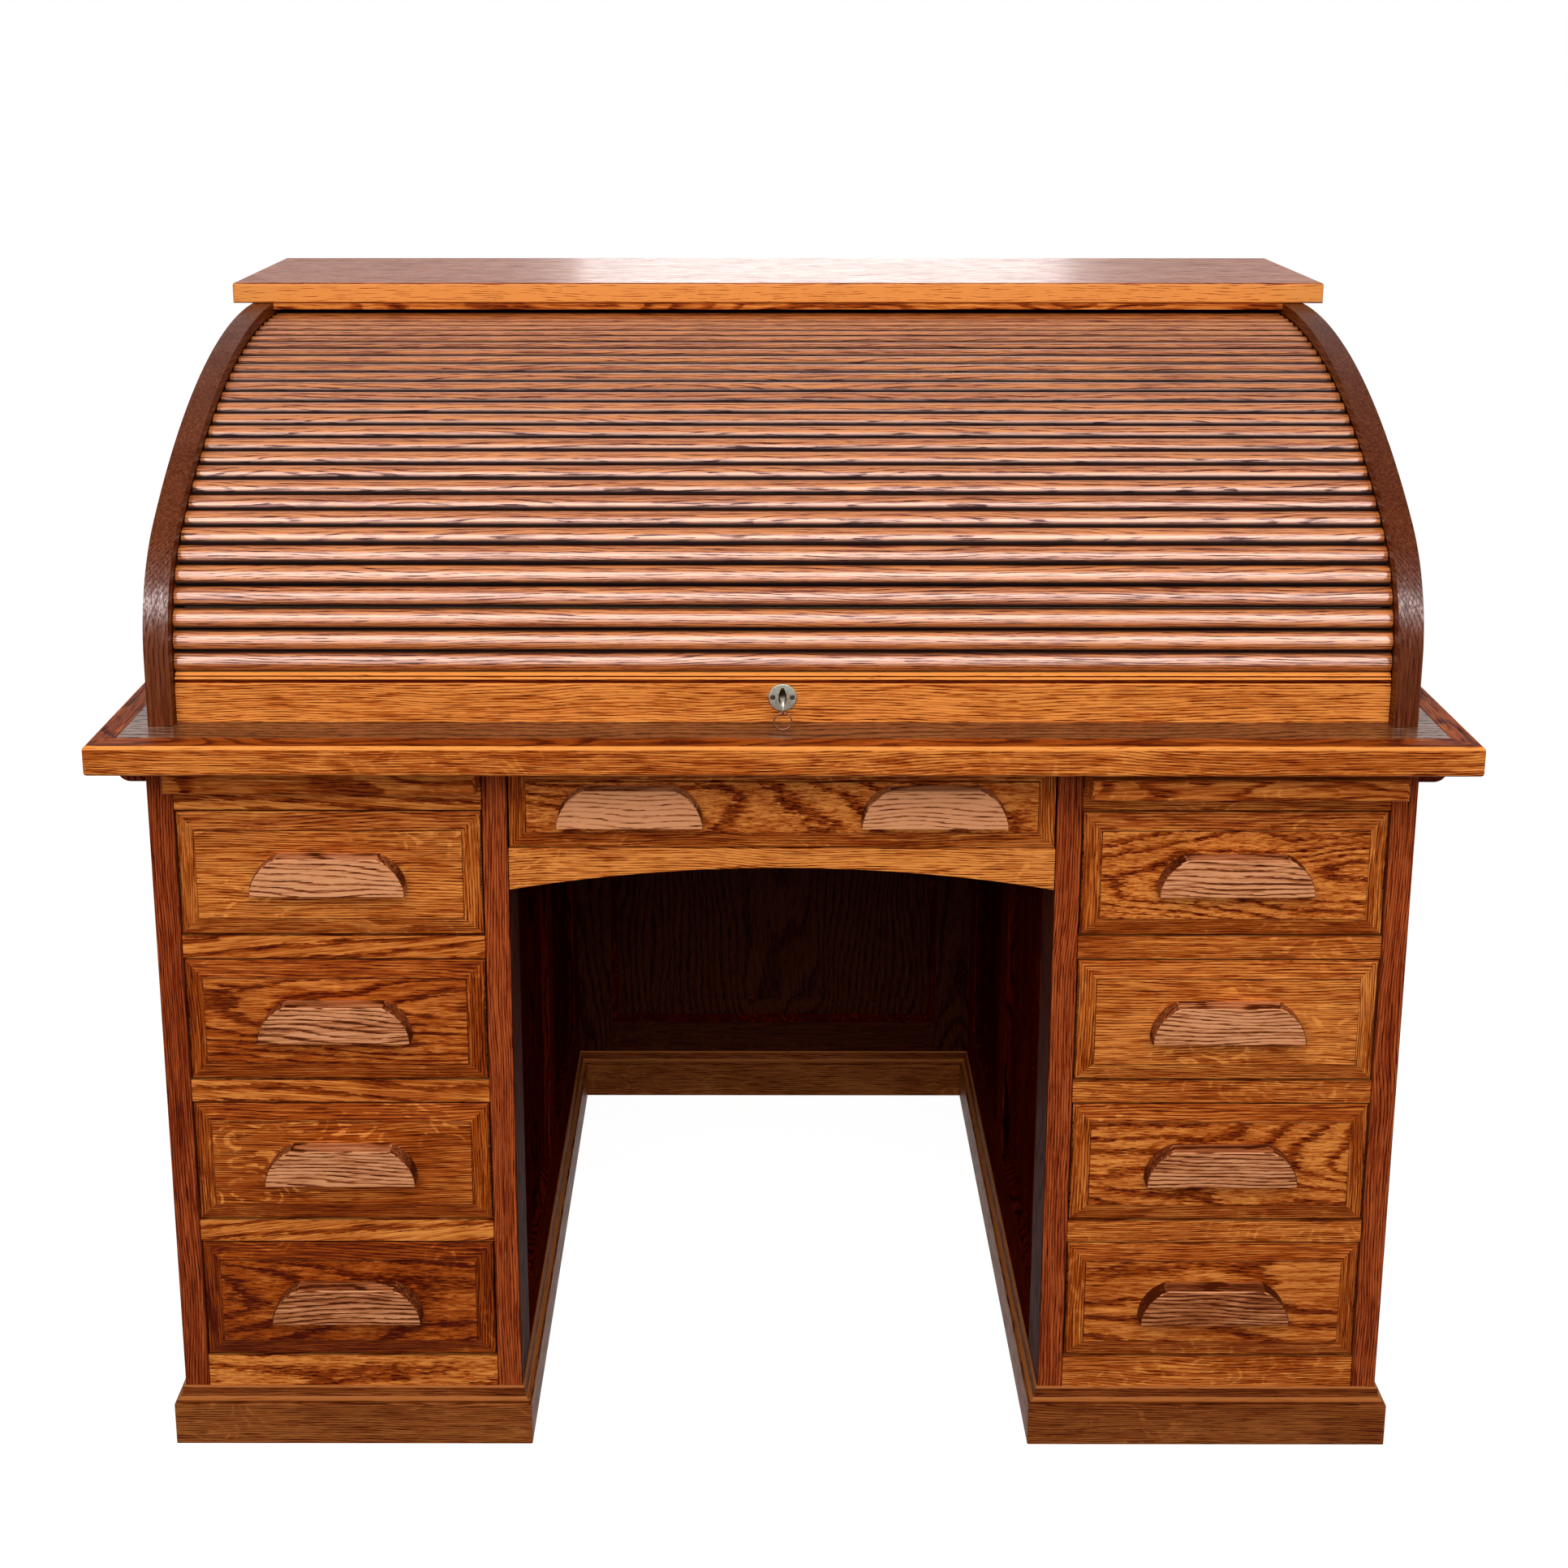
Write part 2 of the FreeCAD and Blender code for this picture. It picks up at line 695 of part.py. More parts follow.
def centre_drawer():
    x = (-inner_face + front_gap, inner_face - front_gap)
    z = (centre_drawer_bottom, centre_drawer_top)
    front = fielded_front(x, z, centre_border_width)
    bottom = (z[0] + z[1]) / 2 - pull_drop
    pulls = [pull(middle, bottom, centre_pull_width)
             for middle in (-centre_pull_offset, centre_pull_offset)]
    box_x = (-inner_face + drawer_side_clear, inner_face - drawer_side_clear)
    boards = drawer_box(box_x, (z[0] + running_clear, z[1] - drawer_box_drop), centre_box_depth)
    return [front] + pulls, boards


def writing_slide(side, drawn_out):
    """A pull-out board whose thicker front lip stands in front of the stiles."""
    half = opening_width / 2 - slide_side_clear
    x = (opening_middle - half, opening_middle + half)
    lip_x = (inner_inside + slide_lip_inset, outer_inside + slide_lip_lap)
    board_low = slide_rail_top + running_clear
    lip_low = board_low + slide_lift
    front, lip_back = stile_face - slide_lip_depth, stile_face - running_clear
    board = box(x, (lip_back, stile_face + slide_depth), (board_low, board_low + slide_thick))
    lip = box(lip_x, (front, lip_back), (lip_low, lip_low + slide_lip_height))
    lip = rounded(lip, slide_lip_round, lambda edge: lies_at(edge, y=front))
    slide = board.fuse(lip)
    slide.translate(FreeCAD.Vector(0, -drawn_out, 0))
    return mirrored(slide) if side < 0 else slide


# ---------------------------------------------------------------- curved case
def side_panel():
    """The right side of the upper case, with the curtain's groove in its inner face."""
    curve = case_line(0.0)
    edges = curve.edges(side_inside)
    foot = FreeCAD.Vector(side_inside, side_front, writing_height)
    rear = FreeCAD.Vector(side_inside, rear_edge, writing_height)
    peak = FreeCAD.Vector(side_inside, *curve.at(curve.length())[:2])
    rear_top = FreeCAD.Vector(side_inside, rear_edge, case_top)
    outline = edges + [line(peak, rear_top), line(rear_top, rear), line(rear, foot)]
    panel = extruded(outline, FreeCAD.Vector(side_thick, 0, 0))
    return panel.cut(groove()).cut(case_back_rebate())


def groove():
    """The curved groove that guides the curtain's ends."""
    outer = curtain_line(crest_inset - groove_side_clear)
    inner = curtain_line(track_inset + groove_side_clear)
    x = side_inside
    ends = [FreeCAD.Vector(x, *line_.at(share * line_.length())[:2]) for line_, share in
            ((outer, 1.0), (inner, 1.0), (inner, 0.0), (outer, 0.0))]
    edges = outer.edges(x) + [line(ends[0], ends[1])] + inner.edges(x) + [line(ends[2], ends[3])]
    return outline_face(Part.__sortEdges__(edges)).extrude(FreeCAD.Vector(groove_depth, 0, 0))


def case_back_rebate():
    return box((side_inside, side_inside + groove_depth), (rear_edge - case_back_thick, rear_edge),
               (writing_height, case_top))


def case_back():
    reach = side_inside + groove_depth
    return box((-reach, reach), (rear_edge - case_back_thick, rear_edge), (writing_height, case_top))


def case_top_board():
    front = front_edge + case_top_setback
    upper = case_top + case_top_thick
    board = box((-case_top_half, case_top_half), (front, rear_edge), (case_top, upper))

    def shows(edge):
        side_top = any(lies_at(edge, x=x, z=upper) for x in (-case_top_half, case_top_half))
        return side_top or lies_at(edge, y=front)

    return rounded(board, case_top_round, shows)


def hood_rail():
    """The rail under the top board's front edge, above the curtain."""
    y_low = front_edge + case_top_setback
    return box((-side_inside, side_inside), (y_low, y_low + hood_rail_depth),
               (case_top - hood_rail_height, case_top))


# ---------------------------------------------------------------- curtain
def slat(start, end):
    """One half-round slat whose flat back spans two distances along the track."""
    a, b = track.at(start), track.at(end)
    length = math.hypot(b[0] - a[0], b[1] - a[1])
    ahead = ((b[0] - a[0]) / length, (b[1] - a[1]) / length)
    out = (-ahead[1], ahead[0])
    margin = slat_gap / 2

    def at(along, height):
        return FreeCAD.Vector(-curtain_half, a[0] + along * ahead[0] + height * out[0],
                              a[1] + along * ahead[1] + height * out[1])

    corners = [at(margin, 0), at(length - margin, 0), at(length - margin, slat_base), at(margin, slat_base)]
    crest = at(length / 2, slat_thick)
    edges = [line(corners[0], corners[1]), line(corners[1], corners[2]),
             arc(corners[2], crest, corners[3]), line(corners[3], corners[0])]
    return extruded(edges, FreeCAD.Vector(2 * curtain_half, 0, 0))


def canvas(start, count):
    """The canvas behind one group of slats, folded along their edges and a little short of its ends."""
    places = [start + n * slat_pitch for n in range(count + 1)]
    places[0] += canvas_end_clear
    places[-1] -= canvas_end_clear
    knots = [track.at(place) for place in places]
    inner = []
    for knot in knots:
        turn = math.radians(knot[2])
        inner.append((knot[0] + canvas_thick * math.sin(turn), knot[1] - canvas_thick * math.cos(turn)))
    reach = curtain_half - groove_depth
    points = [FreeCAD.Vector(-reach, knot[0], knot[1]) for knot in knots]
    points += [FreeCAD.Vector(-reach, y, z) for y, z in reversed(inner)]
    return extruded(closed_edges(points), FreeCAD.Vector(2 * reach, 0, 0))


def curtain_group(number):
    start, count = group_ends()[number + 1], slat_counts[number]
    slats = [slat(start + n * slat_pitch, start + (n + 1) * slat_pitch) for n in range(count)]
    return slats + [canvas(start, count)]


def lead_rail():
    """The curtain's bottom rail, with a hollow and two beads along its upper edge, cut for the lock."""
    front = side_front + lead_rail_inset
    rear = front + lead_rail_thick
    low, top = writing_height + lead_floor_clear, writing_height + lead_rail_height
    foot = top - lead_moulding_height
    third = lead_moulding_height / 3

    def at(back, z):
        return FreeCAD.Vector(-curtain_half, front + back, z)

    edges = [line(at(lead_rail_thick, top), at(lead_rail_thick, low)),
             line(at(lead_rail_thick, low), at(0, low)),
             line(at(0, low), at(0, foot)),
             line(at(0, foot), at(lead_hollow_start, foot)),
             arc(at(lead_hollow_start, foot), at(lead_hollow_back, foot + third / 2),
                 at(lead_bead_start, foot + third)),
             arc(at(lead_bead_start, foot + third), at(lead_bead_crest, foot + 1.5 * third),
                 at(lead_bead_end, foot + 2 * third)),
             line(at(lead_bead_end, foot + 2 * third), at(lead_cap_start, foot + 2 * third)),
             arc(at(lead_cap_start, foot + 2 * third), at(lead_cap_middle, top - lead_cap_drop),
                 at(lead_cap_end, top)),
             line(at(lead_cap_end, top), at(lead_rail_thick, top))]
    rail = extruded(edges, FreeCAD.Vector(2 * curtain_half, 0, 0))
    return rail.cut(lock_mortise()).cut(keyhole(front, rear - front))


# ---------------------------------------------------------------- lock, key and ring
lock_centre = FreeCAD.Vector(0, side_front + lead_rail_inset, writing_height + lock_height)
rail_rear = lock_centre.y + lead_rail_thick
lock_front = rail_rear - lock_body_size[1]
escutcheon_face = lock_centre.y - escutcheon_thick
rearward = FreeCAD.Vector(0, 1, 0)


def lock_mortise():
    width, depth, height = lock_body_size
    return box((-width / 2, width / 2), (lock_front, rail_rear),
               (lock_centre.z - height / 2, lock_centre.z + height / 2))


def lock_body():
    """The lock's case in the rail's back, with the round chamber in which the key's bit turns."""
    start = FreeCAD.Vector(0, lock_front, lock_centre.z)
    return lock_mortise().cut(Part.makeCylinder(lock_chamber_radius, lock_chamber_depth, start, rearward))


def keyhole(y_low, depth):
    """A keyhole that is wide in the middle and tapers to both ends."""
    wide, narrow = keyhole_half_width, keyhole_end_half_width
    outline = [(narrow, keyhole_top), (wide, wide), (wide, -wide), (narrow, -keyhole_bottom)]
    points = [FreeCAD.Vector(x, y_low, lock_centre.z + z) for x, z in outline]
    points += [FreeCAD.Vector(-x, y_low, lock_centre.z + z) for x, z in reversed(outline)]
    return extruded(closed_edges(points), FreeCAD.Vector(0, depth, 0))


def escutcheon():
    """A round plate with the keyhole and its two slotted screws."""
    base = FreeCAD.Vector(0, escutcheon_face, lock_centre.z)
    plate = Part.makeCylinder(escutcheon_radius, escutcheon_thick, base, rearward)
    plate = rounded(plate, escutcheon_round, lambda edge: lies_at(edge, y=escutcheon_face))
    plate = plate.cut(keyhole(escutcheon_face, escutcheon_thick))
    screws = []
    for x in (-lock_screw_offset, lock_screw_offset):
        middle = base + FreeCAD.Vector(x, 0, 0)
        head = Part.makeCylinder(lock_screw_radius, escutcheon_thick, middle, rearward)
        plate = plate.cut(head)
        slot = box((x - lock_screw_slot / 2, x + lock_screw_slot / 2),
                   (escutcheon_face, escutcheon_face + lock_screw_slot),
                   (lock_centre.z - lock_screw_radius, lock_centre.z + lock_screw_radius))
        screws.append(head.cut(slot))
    return [plate] + screws


def key_hole_middle():
    return lock_centre - FreeCAD.Vector(0, key_reach + key_hole_out, key_hole_drop)


def key():
    """A key with a round stem, a bit inside the lock and a flat bow in front."""
    def disc(middle, radius):
        return Part.makeCylinder(radius, key_thick, middle - FreeCAD.Vector(key_thick / 2, 0, 0),
                                 FreeCAD.Vector(1, 0, 0))

    stem_end = lock_front + lock_chamber_depth - running_clear
    bow_middle = lock_centre - FreeCAD.Vector(0, key_reach, 0)
    stem_start = bow_middle.y
    stem = Part.makeCylinder(key_stem_radius, stem_end - stem_start,
                             FreeCAD.Vector(0, stem_start, lock_centre.z), rearward)
    bit = box((-key_thick / 2, key_thick / 2), (stem_end - key_bit_length, stem_end),
              (lock_centre.z - key_bit_reach, lock_centre.z))
    bow = disc(bow_middle, key_bow_radius)
    return stem.fuse(bow).fuse(bit).cut(disc(key_hole_middle(), key_hole_radius))


def key_ring():
    """A wire ring that hangs in the key's bow, square to it."""
    wire = key_hole_middle() - FreeCAD.Vector(0, 0, key_hole_radius - ring_wire - running_clear)
    return Part.makeTorus(ring_radius, ring_wire, wire - FreeCAD.Vector(0, 0, ring_radius), rearward)


def strike_recess():
    width, depth, thick = strike_size
    return box((-width / 2, width / 2), (rail_rear - depth, rail_rear),
               (writing_height - thick, writing_height))


def lock_strike():
    """The plate let into the writing top that the lock's bolt hooks under."""
    width, depth, thick = strike_size
    middle = rail_rear - depth / 2
    slot = box((-width / 4, width / 4), (middle - depth / 4, middle + depth / 4),
               (writing_height - thick, writing_height))
    return strike_recess().cut(slot)


# ---------------------------------------------------------------- pigeonhole gallery
def gallery():
    """Boards of the open gallery: ends, top, shelf and dividers, standing on the writing top."""
    half = side_inside - gallery_side_clear
    y = (front_edge + gallery_front, front_edge + gallery_front + gallery_depth)
    low, high = writing_height, writing_height + gallery_height
    boards = [box((-half, -half + gallery_board), y, (low, high - gallery_board)),
              box((half - gallery_board, half), y, (low, high - gallery_board)),
              box((-half, half), y, (high - gallery_board, high))]
    shelf = (low + gallery_shelf_height, low + gallery_shelf_height + gallery_board)
    boards.append(box((-half + gallery_board, half - gallery_board), y, shelf))
    for middle in gallery_dividers():
        x = (middle - gallery_board / 2, middle + gallery_board / 2)
        boards.append(box(x, y, (shelf[1], high - gallery_board)))
    for middle in (gallery_dividers()[1], gallery_dividers()[-2]):
        x = (middle - gallery_board / 2, middle + gallery_board / 2)
        boards.append(box(x, y, (low, shelf[0])))
    return boards


def gallery_dividers():
    half = side_inside - gallery_side_clear - gallery_board
    step = 2 * half / gallery_columns
    return [-half + step * n for n in range(1, gallery_columns)]


def gallery_back():
    half = side_inside - gallery_side_clear
    y_low = front_edge + gallery_front + gallery_depth
    return box((-half, half), (y_low, y_low + gallery_back_thick),
               (writing_height, writing_height + gallery_height))


# ---------------------------------------------------------------- build
def build():
    os.makedirs("parts", exist_ok=True)
    save("writing_top", writing_top())
    save("writing_top_lipping", writing_top_lipping())
    frames, panels, beads = ends_of_pedestals()
    save("outer_end_frames", frames["outer"])
    save("inner_end_frames", frames["inner"])
    save("end_panels", panels)
    back_members, back_panels, back_beads = back()
    save("back_frame", back_members)
    save("back_panels", back_panels)
    save("panel_beads", beads + back_beads)
    save("plinth", plinth_boards())
    save("plinth_moulding", plinth_moulding())
    rails = drawer_rails()
    save("right_drawer_rails", rails)
    save("left_drawer_rails", [mirrored(rail) for rail in rails])
    save("drawer_runners", runners())
    save("centre_drawer_runners", centre_runners())
    save("kneehole_apron", kneehole_apron())
    save("side_cleats", side_cleats())
    for side, word in ((-1, "left"), (1, "right")):
        for number in range(drawer_count):
            front, boards = pedestal_drawer(number, side)
            save(f"{word}_drawer_{number + 1}_front", front)
            save(f"{word}_drawer_{number + 1}_box", boards)
    front, boards = centre_drawer()
    save("centre_drawer_front", front)
    save("centre_drawer_box", boards)
    save("left_writing_slide", writing_slide(-1, 0.0))
    save("right_writing_slide", writing_slide(1, right_slide_out))
    panel = side_panel()
    save("right_side_panel", panel)
    save("left_side_panel", mirrored(panel))
    save("case_back", case_back())
    save("case_top_board", case_top_board())
    save("hood_rail", hood_rail())
    save("lead_rail", lead_rail())
    for number in range(len(slat_counts)):
        save(f"curtain_slats_{number + 1:02d}", curtain_group(number))
    save("lock_body", lock_body())
    save("lock_escutcheon", escutcheon())
    save("lock_key", key())
    save("key_ring", key_ring())
    save("lock_strike", lock_strike())
    save("gallery", gallery())
    save("gallery_back", gallery_back())


build()
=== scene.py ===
"""Roll-top desk: wood, metal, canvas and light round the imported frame.

Every board keeps the shape and the place that the frame gives it. Here it gets
softened edges, a run of grain of its own and a finish. Lengths are in metres.
"""
import json
import math
import random

import bmesh
import bpy
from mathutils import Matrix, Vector
from mathutils.kdtree import KDTree

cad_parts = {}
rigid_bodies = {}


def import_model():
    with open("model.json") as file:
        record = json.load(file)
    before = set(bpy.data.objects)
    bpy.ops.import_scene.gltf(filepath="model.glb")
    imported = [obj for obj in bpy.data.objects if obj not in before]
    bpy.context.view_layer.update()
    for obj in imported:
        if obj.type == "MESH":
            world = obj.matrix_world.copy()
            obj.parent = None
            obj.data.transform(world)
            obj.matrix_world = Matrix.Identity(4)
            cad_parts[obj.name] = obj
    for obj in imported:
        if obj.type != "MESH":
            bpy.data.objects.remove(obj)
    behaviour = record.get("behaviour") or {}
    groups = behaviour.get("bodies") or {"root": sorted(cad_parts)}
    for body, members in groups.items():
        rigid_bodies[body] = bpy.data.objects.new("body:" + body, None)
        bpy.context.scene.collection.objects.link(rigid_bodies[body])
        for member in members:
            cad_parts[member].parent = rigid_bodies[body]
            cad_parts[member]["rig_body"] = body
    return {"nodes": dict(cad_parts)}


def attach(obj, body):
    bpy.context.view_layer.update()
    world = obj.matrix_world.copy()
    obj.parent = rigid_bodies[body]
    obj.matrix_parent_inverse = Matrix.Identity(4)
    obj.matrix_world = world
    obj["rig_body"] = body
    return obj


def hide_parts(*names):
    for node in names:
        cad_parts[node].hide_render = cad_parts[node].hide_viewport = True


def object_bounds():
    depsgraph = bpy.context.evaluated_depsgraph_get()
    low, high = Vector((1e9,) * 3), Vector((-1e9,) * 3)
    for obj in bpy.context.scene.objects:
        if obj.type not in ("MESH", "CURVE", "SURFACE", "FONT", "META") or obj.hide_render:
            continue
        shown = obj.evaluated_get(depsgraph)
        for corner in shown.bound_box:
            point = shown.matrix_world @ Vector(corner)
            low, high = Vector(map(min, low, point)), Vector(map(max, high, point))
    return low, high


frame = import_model()
cad_box = [list(corner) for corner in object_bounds()]

bl_info = {
    "name": "Roll-top desk",
    "version": (1, 0, 0),
    "blender": (4, 5, 0),
    "location": "3D View > Sidebar > Desk",
    "description": "Finishes a roll-top desk: oak, lock, key, canvas and studio light",
    "category": "Object",
}

ALONG_X, ALONG_Z = 0, 2
MOST_WATTS = 2000


# ---------------------------------------------------------------- settings


def linear(red, green, blue):
    """A colour given in 0 to 255 screen values, as the linear colour that shaders use."""
    return tuple((part / 255) ** 2.2 for part in (red, green, blue))


def colour(name, description, screen):
    return bpy.props.FloatVectorProperty(
        name=name, description=description, subtype="COLOR", size=3,
        min=0, max=1, default=linear(*screen),
    )


def length(name, description, default):
    return bpy.props.FloatProperty(
        name=name, description=description, default=default, min=0,
        unit="LENGTH", precision=5,
    )


def amount(name, description, default, most):
    return bpy.props.FloatProperty(name=name, description=description, default=default, min=0, max=most)


def power(name, description, default):
    return amount(f"{name} power", f"Power of {description}, in watts", default, MOST_WATTS)


class DeskSizes(bpy.types.PropertyGroup):
    """Sizes of the softened edges and of the grain."""

    board_edge: length("Board edge", "Softening of the edges of plain boards", 0.0009)
    front_edge: length("Front edge", "Softening of the edges of drawer fronts", 0.00045)
    slat_edge: length("Slat edge", "Softening of the ends and seams of the slats", 0.0003)
    flat_ring: length("Flat ring", "Width of a ring on the face of a flat-sawn board", 0.0085)
    quarter_ring: length("Quarter ring", "Width of a ring on the face of a quarter-sawn board", 0.0027)


class DeskColours(bpy.types.PropertyGroup):
    """Dark, middle and pale tones of every finish."""

    golden_dark: colour("Golden dark", "Pores and dark grain of the golden oak", (80, 22, 3))
    golden_middle: colour("Golden middle", "Body of the golden oak", (174, 80, 24))
    golden_pale: colour("Golden pale", "Late wood and flecks of the golden oak", (246, 154, 74))
    red_dark: colour("Red dark", "Pores and dark grain of the red-brown oak", (54, 12, 3))
    red_middle: colour("Red middle", "Body of the red-brown oak", (128, 48, 18))
    red_pale: colour("Red pale", "Late wood of the red-brown oak", (188, 92, 46))
    slat_dark: colour("Slat dark", "Pores and dark grain of the slats", (66, 20, 6))
    slat_middle: colour("Slat middle", "Body of the slats", (158, 76, 30))
    slat_pale: colour("Slat pale", "Late wood of the slats", (222, 132, 66))
    pull_dark: colour("Pull dark", "Pores of the pulls", (80, 34, 16))
    pull_middle: colour("Pull middle", "Body of the pulls", (176, 100, 56))
    pull_pale: colour("Pull pale", "Late wood of the pulls", (234, 160, 112))
    brown_dark: colour("Brown dark", "Pores and dark grain of the brown oak", (60, 20, 4))
    brown_middle: colour("Brown middle", "Body of the brown oak", (126, 62, 24))
    brown_pale: colour("Brown pale", "Late wood of the brown oak", (176, 104, 52))
    desktop_dark: colour("Desktop dark", "Pores and dark grain of the writing top", (54, 26, 12))
    desktop_middle: colour("Desktop middle", "Body of the writing top", (116, 66, 38))
    desktop_pale: colour("Desktop pale", "Late wood of the writing top", (164, 108, 70))
    # painted shade: the shaded inside tones are dark copies of the red-brown oak for the kneehole and the
    # inner parts
    inside_dark: colour("Inside dark", "Dark grain of the wood round the kneehole", (26, 4, 2))
    inside_middle: colour("Inside middle", "Body of the wood round the kneehole", (78, 20, 9))
    inside_pale: colour("Inside pale", "Late wood round the kneehole", (114, 40, 18))
    plain_dark: colour("Plain dark", "Dark grain of the drawer sides", (150, 94, 52))
    plain_middle: colour("Plain middle", "Body of the drawer sides", (208, 150, 100))
    plain_pale: colour("Plain pale", "Late wood of the drawer sides", (230, 182, 132))
    nickel: colour("Nickel", "Plating of the key and the escutcheon", (176, 174, 160))
    screw: colour("Screw steel", "Screws of the escutcheon", (92, 78, 62))
    copper: colour("Copper wire", "Ring on the key", (156, 106, 84))
    brass: colour("Brass", "Lock case and strike", (176, 132, 66))
    canvas: colour("Canvas", "Cloth behind the slats", (132, 112, 84))
    floor: colour("Floor", "Studio floor", (128, 126, 124))


class DeskStudio(bpy.types.PropertyGroup):
    """Strength of the lamps and of the world."""

    sky_power: power("Sky", "the lamp overhead", 96)
    front_power: power("Front", "the lamp in front", 18)
    back_power: power("Back", "the lamp behind", 18)
    low_power: power("Low", "the low lamp that shows in the slats' polish", 130)
    wall_power: power("Wall", "the tall lamp that shows in the slats' polish", 320)
    side_power: power("Side", "each lamp that shows in the case's edges", 75)
    world_light: amount("World light", "Strength of the even light all round", 0.26, 4)


# ---------------------------------------------------------------- shader graphs


class Graph:
    """The shader nodes of one material or world, and short ways to add them."""

    def __init__(self, owner, output="ShaderNodeOutputMaterial"):
        owner.use_nodes = True
        self.owner = owner
        self.tree = owner.node_tree
        self.tree.nodes.clear()
        self.output = self.tree.nodes.new(output)

    def node(self, kind, inputs=(), **settings):
        made = self.tree.nodes.new(kind)
        for key, value in settings.items():
            setattr(made, key, value)
        for socket, value in dict(inputs).items():
            self.feed(made.inputs[socket], value)
        return made

    def feed(self, socket, value):
        if isinstance(value, bpy.types.NodeSocket):
            self.tree.links.new(value, socket)
        elif value is not None:
            socket.default_value = value

    def attribute(self, name):
        return self.node("ShaderNodeAttribute", attribute_name=name).outputs["Vector"]

    def object_place(self):
        return self.node("ShaderNodeTexCoord").outputs["Object"]

    def parts(self, vector):
        return self.node("ShaderNodeSeparateXYZ", {0: vector}).outputs

    def math(self, operation, first, second=None, clamp=False):
        made = self.node("ShaderNodeMath", {0: first}, operation=operation, use_clamp=clamp)
        self.feed(made.inputs[1], second)
        return made.outputs[0]

    def vector(self, operation, first, second=None):
        made = self.node("ShaderNodeVectorMath", {0: first}, operation=operation)
        self.feed(made.inputs[1], second)
        return made.outputs["Value" if operation == "LENGTH" else "Vector"]

    def noise(self, place, stretch, detail=2.0, roughness=0.5, output="Fac"):
        place = self.vector("MULTIPLY", place, stretch)
        made = self.node(
            "ShaderNodeTexNoise",
            {"Vector": place, "Scale": 1.0, "Detail": detail, "Roughness": roughness},
        )
        return made.outputs[output]

    def rise(self, value, low, high, to_low=0.0, to_high=1.0):
        """A smooth step from to_low to to_high, as value goes from low to high."""
        made = self.node(
            "ShaderNodeMapRange",
            {"Value": value, "From Min": low, "From Max": high, "To Min": to_low, "To Max": to_high},
            interpolation_type="SMOOTHSTEP",
        )
        return made.outputs[0]

    def total(self, *terms):
        """The sum of (socket, weight) pairs and plain numbers."""
        result = None
        for term in terms:
            value = self.math("MULTIPLY", *term) if isinstance(term, tuple) else term
            result = value if result is None else self.math("ADD", result, value)
        return result

    def ramp(self, factor, stops):
        made = self.node("ShaderNodeValToRGB", {"Fac": factor})
        points = made.color_ramp.elements
        while len(points) < len(stops):
            points.new(0.5)
        for point, (place, shade) in zip(points, stops):
            point.position = place
            point.color = (*shade, 1)
        return made.outputs["Color"]

    def blend(self, factor, first, second):
        """The first colour, or the second one where the factor is 1."""
        made = self.node("ShaderNodeMix", {0: factor, 6: first, 7: (*second, 1)}, data_type="RGBA")
        return made.outputs[2]

    def bump(self, height, strength, distance):
        made = self.node(
            "ShaderNodeBump", {"Height": height, "Strength": strength, "Distance": distance}
        )
        return made.outputs["Normal"]

    def surface(self, **inputs):
        named = {key.replace("_", " ").title(): value for key, value in inputs.items()}
        named = {key.replace("Ior", "IOR"): value for key, value in named.items()}
        return self.shown(self.node("ShaderNodeBsdfPrincipled", named))

    def shown(self, shader):
        """The material or world, once its surface shows the given shader."""
        self.tree.links.new(shader.outputs[0], self.output.inputs["Surface"])
        return self.owner

    def seen(self):
        """1 for what the camera, a mirror or glass shows, and 0 for what only lights the desk."""
        path = self.node("ShaderNodeLightPath").outputs
        direct = self.math("MAXIMUM", path["Is Camera Ray"], path["Is Glossy Ray"])
        return self.math("MAXIMUM", direct, path["Is Transmission Ray"])


# ---------------------------------------------------------------- finishes

# how fine each part of the grain is along, across and through a board: its cells in a metre
WANDER = (3.4, 11, 11)
RIPPLE = (42, 420, 420)
STREAK = (9, 330, 330)
PATCH = (7, 28, 28)
PORE = (30, 800, 800)
CURL = (15, 22, 22)
FLECK_BREAK = (70, 150, 150)
FLECK_PLACE = (6, 14, 14)

# the same for the wear of metal and for canvas, along x, y and z
CLOUD = (420, 420, 420)
RUB = (1500, 1500, 160)
THREADS = 420.0
DUST = (9, 9, 9)

WANDER_REACH = 0.085  # metres that the rings wander by
RIPPLE_REACH = 1.3  # rings that a ripple moves them by
BOWS = 10.0  # bows in the curl of the rays
USUAL_LEVEL = 0.49  # place on the ramp of tones
GRAIN_RELIEF = 0.0004  # depth of the pores, in metres


class Figure:
    """How strongly each part of the grain shows."""

    def __init__(self, rings=1.0, lines=0.8, patches=0.45, pores=0.5):
        self.rings = rings
        self.lines = lines
        self.patches = patches
        self.pores = pores


def early_wood(graph, grain, ring_count, wild):
    """Where a yearly ring is early wood, which is dark and open: 1 there, and 0 in late wood."""
    # the rings wander slowly along the board, so that arches and eyes show on its face
    wander = graph.noise(grain, WANDER, detail=2, output="Color")
    wander = graph.vector("SUBTRACT", wander, (0.5, 0.5, 0.5))
    wander = graph.vector("MULTIPLY", wander, (0, WANDER_REACH, WANDER_REACH))
    wildness = graph.node("ShaderNodeCombineXYZ", {0: wild, 1: wild, 2: wild}).outputs[0]
    wander = graph.vector("MULTIPLY", wander, wildness)
    bent = graph.vector("ADD", grain, wander)
    radius = graph.vector("LENGTH", graph.vector("MULTIPLY", bent, (0, 1, 1)))
    ripple = graph.noise(grain, RIPPLE, detail=3, roughness=0.65)
    phase = graph.total((radius, ring_count), (graph.math("MULTIPLY", ripple, wild), RIPPLE_REACH))
    year = graph.math("FRACT", phase)
    early = graph.math("SUBTRACT", graph.rise(year, 0.86, 0.95), graph.rise(year, 0.02, 0.36))
    return graph.math("ADD", early, 1.0, clamp=True)


